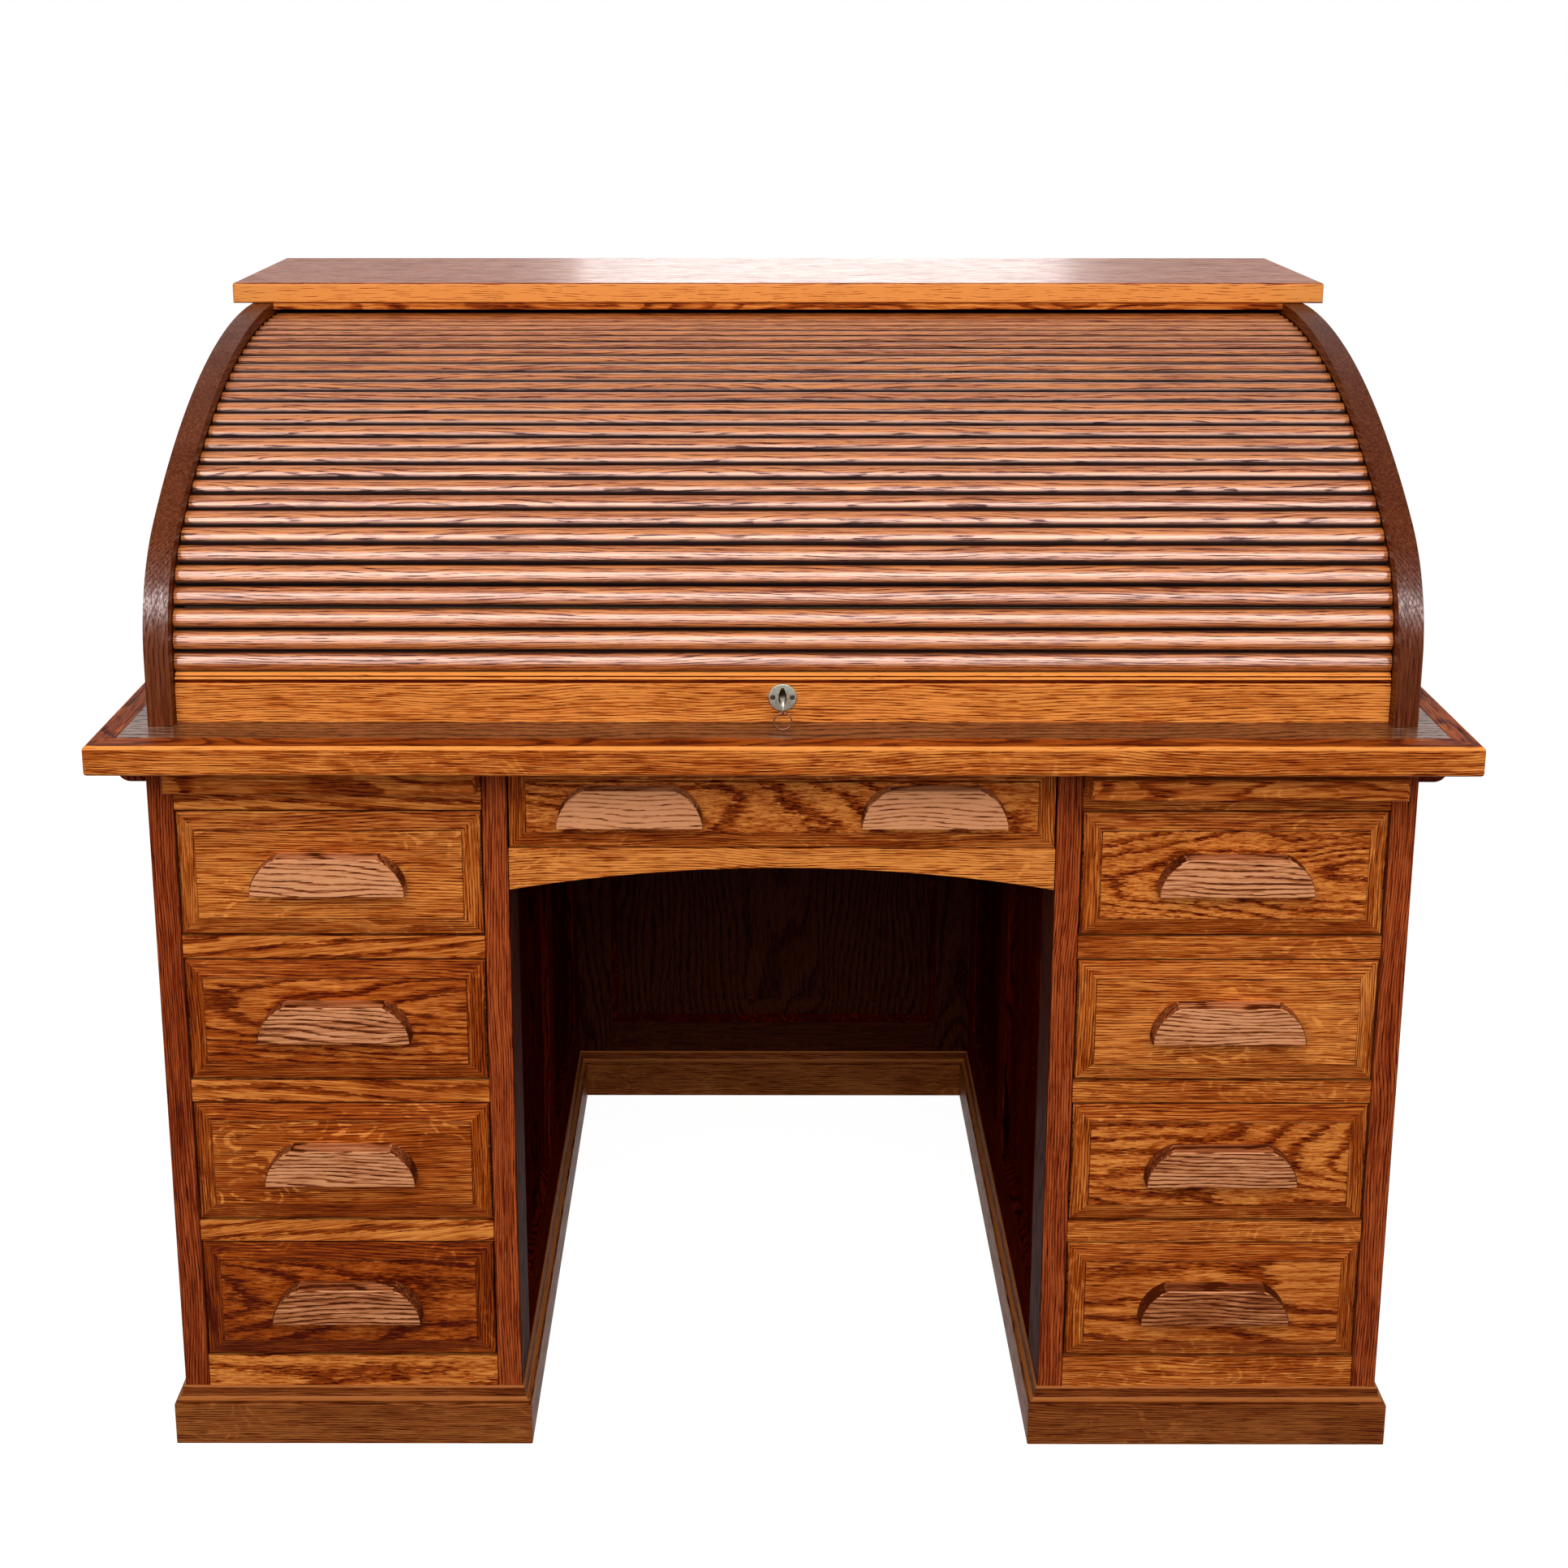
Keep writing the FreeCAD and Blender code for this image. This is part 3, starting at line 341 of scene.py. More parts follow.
def ray_flecks(graph, grain):
    """Flecks of the rays: broken bows, one beside the other, that cross the grain."""
    curl = graph.noise(grain, CURL, detail=1, roughness=0.4)
    bow = graph.math("FRACT", graph.math("MULTIPLY", curl, BOWS))
    bow = graph.rise(graph.math("ABSOLUTE", graph.math("SUBTRACT", bow, 0.5)), 0.1, 0.2, 1.0, 0.0)
    breaks = graph.rise(graph.noise(grain, FLECK_BREAK, detail=2), 0.44, 0.58)
    where = graph.rise(graph.noise(grain, FLECK_PLACE, detail=1), 0.46, 0.58)
    return graph.math("MULTIPLY", graph.math("MULTIPLY", bow, breaks), where)


def oak(name, tones, figure, gloss=0.02, shine=0.05, roughness=0.4, haze=0.2, lacquer=1.5):
    """Polished oak. Grain runs along the first part of the grain attribute."""
    dark, middle, pale = tones
    graph = Graph(bpy.data.materials.new(name))
    grain = graph.attribute("grain")
    # the third part of the look attribute is the share of painted shade at each corner
    tone, fleck_share, painted_shade_share = graph.parts(graph.attribute("look"))[:3]
    ring_count, ring_depth, wild = graph.parts(graph.attribute("rings"))[:3]
    ring_depth = graph.math("MULTIPLY", ring_depth, figure.rings)

    early = early_wood(graph, grain, ring_count, wild)
    streak = graph.noise(grain, STREAK, detail=4, roughness=0.75)
    patch = graph.noise(grain, PATCH, detail=2)
    fine = graph.noise(grain, PORE, detail=2, roughness=0.55)
    dashes = graph.rise(fine, 0.5, 0.6)
    pores = graph.math("MULTIPLY", dashes, graph.total((early, 0.55), 0.45))
    fleck = graph.math("MULTIPLY", ray_flecks(graph, grain), fleck_share)

    level = graph.total(
        tone,
        USUAL_LEVEL + 0.3 * figure.pores,
        (graph.math("SUBTRACT", 0.3, early), ring_depth),
        (pores, -figure.pores),
        (graph.math("SUBTRACT", streak, 0.5), figure.lines),
        (graph.math("SUBTRACT", patch, 0.5), figure.patches),
        (fleck, 0.36),
    )
    between = tuple(0.5 * low + 0.5 * high for low, high in zip(dark, middle))
    shade = graph.ramp(level, [(0.04, dark), (0.3, between), (0.52, middle), (0.9, pale)])
    # painted shade: where that share is 1 the colour turns to this near-black, standing in for shade in
    # seams, gaps, creases and the kneehole, and the polish goes
    painted_shade = tuple(0.16 * part for part in dark)
    shade = graph.blend(painted_shade_share, shade, painted_shade)
    height = graph.total((pores, -1.0), (early, -0.3), (fleck, 0.2))
    rough = graph.total(roughness, (pores, 0.22), (streak, 0.08), (painted_shade_share, 0.3))
    polish = graph.math("MULTIPLY", graph.rise(level, 0.2, 0.62, 0.15, 1.0), gloss)
    polish = graph.math("MULTIPLY", polish, graph.math("SUBTRACT", 1.0, painted_shade_share))
    return graph.surface(
        base_color=shade, roughness=rough, specular_ior_level=shine, coat_weight=polish,
        coat_roughness=haze, coat_ior=lacquer, normal=graph.bump(height, 0.5, GRAIN_RELIEF),
    )


def metal(name, tone, roughness, wear):
    """Plated or aged metal, with faint cloudy wear."""
    graph = Graph(bpy.data.materials.new(name))
    place = graph.object_place()
    cloud = graph.noise(place, CLOUD, detail=3)
    rub = graph.noise(place, RUB, detail=2)
    worn = tuple(part * (1 - wear) for part in tone)
    shade = graph.ramp(cloud, [(0.3, worn), (0.6, tone)])
    rough = graph.total(roughness, (cloud, 0.14), (rub, 0.1))
    return graph.surface(
        base_color=shade, metallic=1.0, roughness=rough,
        normal=graph.bump(graph.total((rub, 0.5), (cloud, 0.5)), 0.25, 0.0001),
    )


def canvas_cloth(name, tone):
    """Coarse canvas, aged by dust and glue."""
    graph = Graph(bpy.data.materials.new(name))
    place = graph.object_place()
    waves = {"Vector": place, "Scale": THREADS, "Distortion": 0.6}
    warp = graph.node("ShaderNodeTexWave", waves, bands_direction="X").outputs["Fac"]
    weft = graph.node("ShaderNodeTexWave", waves, bands_direction="Z").outputs["Fac"]
    weave = graph.math("MULTIPLY", warp, weft)
    dust = graph.noise(place, DUST, detail=4)
    level = graph.total((weave, 0.3), (dust, 0.9))
    dark = tuple(part * 0.35 for part in tone)
    shade = graph.ramp(level, [(0.25, dark), (0.75, tone)])
    return graph.surface(
        base_color=shade, roughness=0.92, specular_ior_level=0.2,
        normal=graph.bump(weave, 0.5, 0.0003),
    )


FINISHES = {}


def finish(name):
    """The named finish, made when it is first asked for."""
    if name not in FINISHES:
        colours = bpy.context.scene.desk_colours

        def tones(prefix):
            return [getattr(colours, f"{prefix}_{part}")[:] for part in ("dark", "middle", "pale")]

        FINISHES.update({
            "golden": oak("golden_oak", tones("golden"), Figure(lines=1.2, pores=0.6)),
            "top": oak(
                "top_oak", tones("golden"), Figure(patches=0.3),
                gloss=0.3, shine=0.1, roughness=0.34, haze=0.26,
            ),
            "red": oak("red_brown_oak", tones("red"), Figure(rings=1.2, lines=1.3, patches=0.25)),
            "side": oak(
                "side_oak", tones("brown"), Figure(rings=0.3, lines=0.8, patches=0.2, pores=0.3),
                gloss=0.5, haze=0.3,
            ),
            "slat": oak(
                "slat_oak", tones("slat"), Figure(lines=1.5, patches=0.25, pores=0.6),
                gloss=1.0, shine=0.1, haze=0.13, lacquer=1.6,
            ),
            "pull": oak("pull_oak", tones("pull"), Figure(rings=2.1, lines=1.9, patches=0.4, pores=0.6)),
            "brown": oak("brown_oak", tones("brown"), Figure(patches=0.6)),
            "desktop": oak(
                "desktop_oak", tones("desktop"), Figure(patches=0.35),
                gloss=0.8, shine=0.2, roughness=0.34, haze=0.16,
            ),
            # painted shade: a darkened copy of the red-brown oak for what lies in shadow
            "inside": oak("inside_oak", tones("inside"), Figure(), gloss=0.0, shine=0.0, roughness=0.6),
            "plain": oak("plain_oak", tones("plain"), Figure(rings=0.5, pores=0.3), gloss=0.0, roughness=0.6),
            "nickel": metal("nickel_plate", colours.nickel[:], 0.24, 0.35),
            "screw": metal("screw_steel", colours.screw[:], 0.4, 0.5),
            "copper": metal("copper_wire", colours.copper[:], 0.3, 0.4),
            "brass": metal("aged_brass", colours.brass[:], 0.34, 0.45),
            "canvas": canvas_cloth("canvas_cloth", colours.canvas[:]),
        })
    return FINISHES[name]


# ---------------------------------------------------------------- boards

MERGE = 2e-6  # corners nearer than this, in metres, are one
FLAT = math.radians(0.6)
SHARP = math.radians(28)
SMOOTH = math.radians(50)

# depth and wildness of the rings on a board's face
FLAT_RINGS = (0.42, 0.75)
QUARTER_RINGS = (0.32, 0.4)

# metres from a board's middle to the pith of its log: straight through a flat-sawn board, straight
# across a quarter-sawn one, and the most by which the pith lies off that line
FLAT_PITH = (0.03, 0.07)
QUARTER_PITH = (0.16, 0.3)
OFF_PITH = 0.03
LOG_REACH = 40  # metres either way along the log where a board may be cut

# where the painted shade beside a slat's seam starts, in half widths, how far it takes to reach its full
# depth, and how much sooner it starts under a slat that leans right back
SEAM_START, SEAM_WIDTH, SEAM_LEAN = 0.7, 0.22, 0.17

# the part of a face's normal along an axis from which it is turned that way, or square to it
TURNED, SQUARE = 0.2, 0.97
# painted shade along the arrises beside the drawers and in the quirks of their fronts
ARRIS_PAINTED_SHADE = 0.7


class Board:
    """How the grain lies in one board, how light and figured the board is, and how much painted shade it
    carries.
    """

    def __init__(
        self, low, high, seed, along=None, across=None, cut="mixed", tone=0.0, lift=0.0, spread=0.06,
        fleck=None, painted_shade=0.0, ring=None, wild=None,
    ):
        chance = random.Random(seed)
        order = sorted(range(3), key=lambda axis: high[axis] - low[axis])
        along = order[2] if along is None else along
        others = [axis for axis in order if axis != along]
        if across == others[0]:
            others.reverse()
        self.axes = (along, others[1], others[0])
        self.middle = (low + high) / 2
        flat = cut == "flat" or (cut == "mixed" and chance.random() < 0.5)
        side = chance.choice((-1, 1))
        start = chance.uniform(-LOG_REACH, LOG_REACH)
        if flat:
            off = chance.uniform(-OFF_PITH, OFF_PITH)
            self.pith = Vector((start, off, side * chance.uniform(*FLAT_PITH)))
        else:
            away = side * chance.uniform(*QUARTER_PITH)
            self.pith = Vector((start, away, chance.uniform(-OFF_PITH, OFF_PITH)))
        self.tilt = chance.choice((-1, 1)) * (chance.uniform(0.05, 0.13) if flat else 0.02)
        figure = (0.1 if flat else 1.0) if fleck is None else fleck
        self.look = (tone + lift + chance.uniform(-spread, spread), figure)
        sizes = bpy.context.scene.desk_sizes
        width = ring or (sizes.flat_ring if flat else sizes.quarter_ring)
        depth, usual_wild = FLAT_RINGS if flat else QUARTER_RINGS
        self.rings = (1 / width, depth, usual_wild if wild is None else wild)
        self.painted_shade = painted_shade
        self.seam = None

    def place(self, point):
        off = point - self.middle
        along, across, through = [off[axis] for axis in self.axes]
        return Vector((along, across, through + along * self.tilt)) + self.pith

    def painted_shade_share(self, point):
        """Painted shade beside the seams between slats, most under those that lean back; elsewhere the
        board's own share.
        """
        if self.seam is None:
            return self.painted_shade
        middle, chord, half = self.seam
        off = (point - middle).dot(chord) / half
        start = SEAM_START - (SEAM_LEAN * chord.y ** 3 if off < 0 else 0.0)
        return min(max((abs(off) - start) / SEAM_WIDTH, 0.0), 1.0)


def seam_of(shape):
    """The middle of a slat, the way up across its seams and half its width."""
    points = [vertex.co for vertex in shape.verts]
    middle = sum(points, Vector()) / len(points)
    spread = [(point - middle).yz for point in points]
    tall = sum(part.y ** 2 for part in spread) - sum(part.x ** 2 for part in spread)
    angle = math.atan2(2 * sum(part.x * part.y for part in spread), -tall) / 2
    chord = Vector((0, math.cos(angle), math.sin(angle)))
    if chord.z < 0:
        chord = -chord
    reach = [(point - middle).dot(chord) for point in points]
    middle += chord * (max(reach) + min(reach)) / 2
    return middle, chord, (max(reach) - min(reach)) / 2


def solids_of(mesh):
    """The closed solids of a node's loose triangles, each a list of its triangles' corners."""
    tree = KDTree(len(mesh.vertices))
    for vertex in mesh.vertices:
        tree.insert(vertex.co, vertex.index)
    tree.balance()
    same = [min(index for _, index, _ in tree.find_range(vertex.co, MERGE)) for vertex in mesh.vertices]
    solids, current, unpaired = [], [], set()
    for polygon in mesh.polygons:
        corners = [same[number] for number in polygon.vertices]
        if len(set(corners)) < 3:
            continue
        current.append(corners)
        for start, end in zip(corners, corners[1:] + corners[:1]):
            if (end, start) in unpaired:
                unpaired.remove((end, start))
            else:
                unpaired.add((start, end))
        if not unpaired:
            solids.append(current)
            current = []
    if current:
        raise RuntimeError(f"{mesh.name} has a solid that isn't closed")
    return solids


def solid_shape(mesh, triangles):
    """One solid as a bmesh, its flat faces whole."""
    shape = bmesh.new()
    corners = {}
    for triangle in triangles:
        for number in triangle:
            if number not in corners:
                corners[number] = shape.verts.new(mesh.vertices[number].co)
        shape.faces.new([corners[number] for number in triangle])
    bmesh.ops.dissolve_limit(shape, angle_limit=FLAT, verts=shape.verts, edges=shape.edges)
    return shape


def soften(shape, width):
    """Rounds every sharp edge of a solid."""
    sharp = [
        edge for edge in shape.edges
        if len(edge.link_faces) == 2 and edge.calc_face_angle() > SHARP
    ]
    bmesh.ops.bevel(
        shape, geom=sharp, offset=width, offset_type="OFFSET", segments=2,
        profile=0.5, affect="EDGES", clamp_overlap=True, material=-1,
    )


def corners_of(shape):
    low = Vector([min(vertex.co[axis] for vertex in shape.verts) for axis in range(3)])
    high = Vector([max(vertex.co[axis] for vertex in shape.verts) for axis in range(3)])
    return low, high


def grained(name, shapes, node, material, regions=None, seams=False, **how):
    """One piece from several solids, with the grain laid in each, in place of a CAD node."""
    whole = bmesh.new()
    owners = []
    for number, shape in enumerate(shapes):
        low, high = corners_of(shape)
        boards = {}
        for face in shape.faces:
            key, changes = regions(face, low, high) if regions else ("", {})
            if key not in boards:
                boards[key] = Board(low, high, f"{name} {number} {key}", **{**how, **changes})
                if seams:
                    boards[key].seam = seam_of(shape)
            owners.append(boards[key])
        part = bpy.data.meshes.new("part")
        shape.to_mesh(part)
        whole.from_mesh(part)
        bpy.data.meshes.remove(part)
        shape.free()
    mesh = bpy.data.meshes.new(name)
    whole.to_mesh(mesh)
    whole.free()
    return placed(name, mesh, node, material, owners)


def placed(name, mesh, node, material, owners):
    """The finished object, with its grain written down, riding on its node's body."""
    places, looks, rings = [], [], []
    for polygon, board in zip(mesh.polygons, owners):
        for number in polygon.vertices:
            point = mesh.vertices[number].co
            places.extend(board.place(point))
            looks.extend((*board.look, board.painted_shade_share(point)))
            rings.extend(board.rings)
    for key, values in (("grain", places), ("look", looks), ("rings", rings)):
        mesh.attributes.new(key, "FLOAT_VECTOR", "CORNER").data.foreach_set("vector", values)
    mesh.shade_smooth()
    mesh.set_sharp_from_angle(angle=SMOOTH)
    mesh.materials.append(material)
    piece = bpy.data.objects.new(name, mesh)
    bpy.context.scene.collection.objects.link(piece)
    even = piece.modifiers.new("Even shading", "WEIGHTED_NORMAL")
    even.keep_sharp = True
    source = frame["nodes"][node]
    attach(piece, source["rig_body"])
    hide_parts(node)
    return piece


def boards(node, material, edge, keep=None, name=None, regions=None, **how):
    """A softened, grained piece in place of a node, or of those of its solids that keep accepts."""
    shapes = []
    mesh = frame["nodes"][node].data
    for triangles in solids_of(mesh):
        shape = solid_shape(mesh, triangles)
        if keep and not keep(shape):
            shape.free()
            continue
        soften(shape, edge)
        shapes.append(shape)
    if not shapes:
        raise RuntimeError(f"{node} has no solid for {name or node}")
    return grained(name or f"{node}_wood", shapes, node, finish(material), regions, **how)


# ---------------------------------------------------------------- pieces of the desk


class DeskOperator:
    """What every operator of the desk shares."""

    bl_options = {"REGISTER", "UNDO"}

    def execute(self, context):
        self.make(context.scene.desk_sizes)
        return {"FINISHED"}


def lipping_regions(face, low, high):
    """The edging is darker on its upper face, with a painted highlight along its arris."""
    if face.normal.z > 0.95:
        return "upper", {"tone": -0.3, "spread": 0.02}
    if face.normal.z > 0.1:
        return "arris", {"tone": 0.7}
    return "edge", {"tone": -0.02}


class DESK_OT_writing_top(DeskOperator, bpy.types.Operator):
    """Finish the writing top and its mitred edging"""

    bl_idname = "desk.writing_top"
    bl_label = "Writing Top"

    def make(self, sizes):
        boards("writing_top", "desktop", sizes.board_edge, cut="flat", fleck=0.0, tone=-0.06)
        boards(
            "writing_top_lipping", "golden", sizes.board_edge, regions=lipping_regions,
            cut="quarter", fleck=0.3,
        )


# how far in from the top's edges the outer ends and the front stiles reach, and a stile's least height
OUTER_REACH = 0.08
FRONT_REACH = 0.1
LEAST_STILE = 0.6


def is_outer(shape):
    """Whether a panel or a bead belongs to an outer end."""
    low, high = corners_of(shape)
    return max(abs(low.x), abs(high.x)) > cad_box[1][0] - OUTER_REACH


def is_front_stile(shape):
    """Whether a frame member of an inner end is the stile at the front."""
    low, high = corners_of(shape)
    return low.y < cad_box[0][1] + FRONT_REACH and high.z - low.z > LEAST_STILE


def back_regions(face, low, high):
    """The back carries painted shade on the side that faces the kneehole."""
    if face.normal.y < -0.3:
        return "front", {"painted_shade": 0.88}
    return "rear", {"tone": -0.02}


def end_frame_regions(face, low, high):
    """A stile shows straight grain on its front edge, with painted shade along the drawers."""
    if TURNED < abs(face.normal.y) < SQUARE and face.normal.x * (low.x + high.x) < 0:
        return "arris", {"painted_shade": ARRIS_PAINTED_SHADE}
    if abs(face.normal.y) > 0.5:
        return "edge", {"across": ALONG_X}
    return "face", {}


def rail_regions(face, low, high):
    """A rail carries painted shade where it meets the drawers."""
    if abs(face.normal.z) > TURNED:
        return "arris", {"painted_shade": ARRIS_PAINTED_SHADE}
    return "face", {}


def stile_regions(face, low, high):
    """An inner stile carries painted shade where it faces the kneehole and along its front arrises."""
    if face.normal.x * (low.x + high.x) < -0.3 * abs(low.x + high.x):
        return "side", {"painted_shade": 0.85}
    if abs(face.normal.x) > TURNED and face.normal.y < -TURNED:
        return "arris", {"painted_shade": ARRIS_PAINTED_SHADE}
    return "front", {}


def moulding_regions(face, low, high):
    """A moulding carries a painted highlight where it faces up, painted shade on its upright faces, and
    deeper painted shade where it faces down.
    """
    if face.normal.z > 0.5:
        return "crest", {"lift": 0.7}
    if face.normal.z < -0.1:
        return "under", {"painted_shade": 0.8}
    return "face", {"lift": -0.2}


class DESK_OT_pedestals(DeskOperator, bpy.types.Operator):
    """Finish the pedestals, the back, the plinth and the kneehole"""

    bl_idname = "desk.pedestals"
    bl_label = "Pedestals"

    def make(self, sizes):
        edge = sizes.board_edge
        boards("outer_end_frames", "red", edge, regions=end_frame_regions, cut="quarter", fleck=0.0)
        boards(
            "inner_end_frames", "red", edge, name="inner_front_stiles", keep=is_front_stile,
            regions=stile_regions, cut="quarter", across=ALONG_X, fleck=0.0,
        )
        # the inner ends, but for their front stiles, take the painted shade of the shaded inside finish
        boards(
            "inner_end_frames", "inside", edge, name="inner_end_frames_wood",
            keep=lambda shape: not is_front_stile(shape), cut="quarter",
        )
        for name, width in (("end_panels", edge), ("panel_beads", edge / 3)):
            boards(name, "red", width, name=f"outer_{name}", keep=is_outer)
            # the inner panels and beads take the painted shade of the shaded inside finish, darkened further
            boards(
                name, "inside", width, name=f"{name}_wood", keep=lambda shape: not is_outer(shape), tone=-0.2,
            )
        boards("back_frame", "red", edge, regions=back_regions)
        boards("back_panels", "red", edge, regions=back_regions)
        boards("plinth", "brown", edge, cut="quarter", fleck=0.5, tone=-0.02)
        boards("plinth_moulding", "brown", edge / 3, regions=moulding_regions, cut="quarter", fleck=0.0)
        boards(
            "right_drawer_rails", "golden", edge, regions=rail_regions, cut="quarter", across=ALONG_Z,
            fleck=0.45, tone=-0.06,
        )
        boards(
            "left_drawer_rails", "golden", edge, regions=rail_regions, cut="flat", ring=0.014, tone=-0.02,
        )
        boards("drawer_runners", "plain", edge)
        boards("centre_drawer_runners", "plain", edge)
        boards("kneehole_apron", "golden", edge, cut="quarter", tone=0.03, fleck=0.6)
        # painted shade: the cleats are darkened to stand in for the shadow under the top's overhang
        boards("side_cleats", "red", edge, tone=-0.35)


RIM = 0.001
FRONT_BORDER = 0.0175
QUIRK = (0.0152, 0.0195)
STRIP = {"cut": "quarter", "ring": None}


def front_regions(face, low, high):
    """The mitred strip, the quirk or the field of a drawer front that a face lies in."""
    middle = face.calc_center_median()
    from_side = min(middle.x - low.x, high.x - middle.x)
    from_end = min(middle.z - low.z, high.z - middle.z)
    inset = min(from_side, from_end)
    # painted shade in the gap round a front
    if inset < RIM and abs(face.normal.y) < SQUARE:
        return "rim", {"painted_shade": 0.8}
    # painted shade in the quirk round the field
    if QUIRK[0] < inset < QUIRK[1] and face.normal.y > -0.9:
        return "quirk", {"painted_shade": ARRIS_PAINTED_SHADE}
    if inset > FRONT_BORDER:
        return "field", {"along": ALONG_X}
    if from_side < from_end:
        side = "left" if middle.x < (low.x + high.x) / 2 else "right"
        return side, {**STRIP, "along": ALONG_Z, "fleck": 0.4, "lift": -0.1}
    if middle.z < (low.z + high.z) / 2:
        return "lower", {**STRIP, "along": ALONG_X, "fleck": 0.4, "lift": -0.1}
    return "upper", {**STRIP, "along": ALONG_X, "fleck": 0.6, "lift": -0.06}


def pull_regions(face, low, high):
    """A pull is dark at its rounded ends, with painted shade on top and a painted highlight along its upper
    arris.
    """
    if abs(face.normal.x) > 0.35:
        return "ends", {"ring": 0.05, "lift": -0.55}
    if face.normal.z > 0.9:
        return "top", {"lift": -0.3}
    if face.normal.z > 0.3:
        return "arris", {"lift": 0.3}
    return "face", {}


WIDEST_PULL = 0.2


def is_pull(shape):
    low, high = corners_of(shape)
    return high.x - low.x < WIDEST_PULL


# each front's cut, ring width and tone, and the tone of its pulls
# the tones darken towards the lower drawers and brighten the centre pulls: partly each board's own tone,
# partly painted shade and painted light
FRONTS = {
    "left_drawer_1": ("quarter", None, 0.0, 0.22),
    "left_drawer_2": ("flat", 0.008, -0.18, 0.0),
    "left_drawer_3": ("quarter", None, -0.18, 0.06),
    "left_drawer_4": ("flat", 0.012, -0.3, -0.12),
    "right_drawer_1": ("flat", 0.007, -0.04, 0.04),
    "right_drawer_2": ("quarter", None, 0.04, 0.1),
    "right_drawer_3": ("flat", 0.008, -0.06, -0.06),
    "right_drawer_4": ("flat", 0.012, -0.1, -0.24),
    "centre_drawer": ("flat", 0.01, -0.06, 0.38),
}


class DESK_OT_drawers(DeskOperator, bpy.types.Operator):
    """Finish the drawer fronts, their pulls and the drawer boxes"""

    bl_idname = "desk.drawers"
    bl_label = "Drawers"

    def make(self, sizes):
        for name, (cut, ring, tone, pull_tone) in FRONTS.items():
            boards(
                f"{name}_front", "golden", sizes.front_edge, name=f"{name}_front_wood",
                keep=lambda shape: not is_pull(shape), regions=front_regions,
                cut=cut, ring=ring, tone=tone, spread=0.02,
            )
            boards(
                f"{name}_front", "pull", sizes.front_edge, name=f"{name}_pull_wood", keep=is_pull,
                regions=pull_regions, along=ALONG_X, cut="quarter", ring=0.0042, wild=0.6, fleck=0.0,
                tone=pull_tone, spread=0.03,
            )
            boards(f"{name}_box", "plain", sizes.board_edge)


class DESK_OT_slides(DeskOperator, bpy.types.Operator):
    """Finish the two writing slides"""

    bl_idname = "desk.slides"
    bl_label = "Writing Slides"

    def make(self, sizes):
        for side in ("left", "right"):
            boards(
                f"{side}_writing_slide", "golden", sizes.board_edge, along=ALONG_X, cut="quarter",
                fleck=0.3, tone=-0.05,
            )


class DESK_OT_case(DeskOperator, bpy.types.Operator):
    """Finish the curved case over the writing top"""

    bl_idname = "desk.case"
    bl_label = "Curved Case"

    def make(self, sizes):
        edge = sizes.board_edge
        for name in ("right_side_panel", "left_side_panel"):
            boards(name, "side", edge, regions=side_regions, cut="quarter", fleck=0.0, tone=-0.24)
        boards("case_back", "brown", edge)
        boards("case_top_board", "top", edge, regions=top_regions, cut="quarter", fleck=0.3)
        boards("hood_rail", "golden", edge / 2, cut="quarter", tone=-0.04, fleck=0.0)
        boards("gallery", "golden", edge)
        # the gallery's back takes the painted shade of the shaded inside finish
        boards("gallery_back", "inside", edge)


def side_regions(face, low, high):
    """The edges of a side panel, such as the curved one, show nearly straight grain."""
    if abs(face.normal.x) < 0.5:
        return "edge", {"along": ALONG_Z, "across": ALONG_X, "wild": 0.1}
    return "face", {}


def top_regions(face, low, high):
    """The edges of the top board are a light golden strip."""
    if abs(face.normal.z) < 0.5:
        return "edge", {"across": ALONG_Z, "lift": 0.46}
    return "upper", {"lift": -0.12}


THICKEST_CLOTH = 0.0015
LEAD_MOULDING = 0.0105


def is_cloth(shape):
    surface = sum(face.calc_area() for face in shape.faces)
    return 2 * shape.calc_volume() / surface < THICKEST_CLOTH


def lead_regions(face, low, high):
    """The moulding along the lead rail has painted highlights on its crests and painted shade in its hollows.
    """
    if face.calc_center_median().z < high.z - LEAD_MOULDING:
        return "front", {}
    if face.normal.z > 0.2:
        return "crest", {"lift": 0.6}
    return "hollow", {"lift": -0.7}


class DESK_OT_curtain(DeskOperator, bpy.types.Operator):
    """Finish the slats, the canvas behind them and the lead rail"""

    bl_idname = "desk.curtain"
    bl_label = "Slatted Curtain"

    def make(self, sizes):
        boards(
            "lead_rail", "golden", sizes.slat_edge, regions=lead_regions, cut="quarter", tone=0.1, fleck=0.0,
        )
        for number in range(1, 11):
            node = f"curtain_slats_{number:02d}"
            boards(
                node, "slat", sizes.slat_edge, name=f"{node}_wood",
                keep=lambda shape: not is_cloth(shape), seams=True, cut="quarter",
                tone=0.1, spread=0.1, fleck=0.0,
            )
            boards(node, "canvas", sizes.slat_edge / 2, name=f"{node}_canvas", keep=is_cloth)


WIDEST_SCREW = 0.008


def is_screw(shape):
    low, high = corners_of(shape)
    return high.x - low.x < WIDEST_SCREW


class DESK_OT_lock(DeskOperator, bpy.types.Operator):
    """Finish the lock, its escutcheon, the key and its ring"""

    bl_idname = "desk.lock"
    bl_label = "Lock and Key"

    def make(self, sizes):
        for node, metal_name in (
            ("lock_key", "nickel"), ("key_ring", "copper"), ("lock_body", "brass"), ("lock_strike", "brass"),
        ):
            frame["nodes"][node].material_slots[0].material = finish(metal_name)
        boards(
            "lock_escutcheon", "nickel", sizes.slat_edge, name="lock_plate",
            keep=lambda shape: not is_screw(shape),
        )
        boards("lock_escutcheon", "screw", sizes.slat_edge / 2, name="lock_screws", keep=is_screw)


# ---------------------------------------------------------------- studio

DESK_MIDDLE = (0, 0, 0.7)

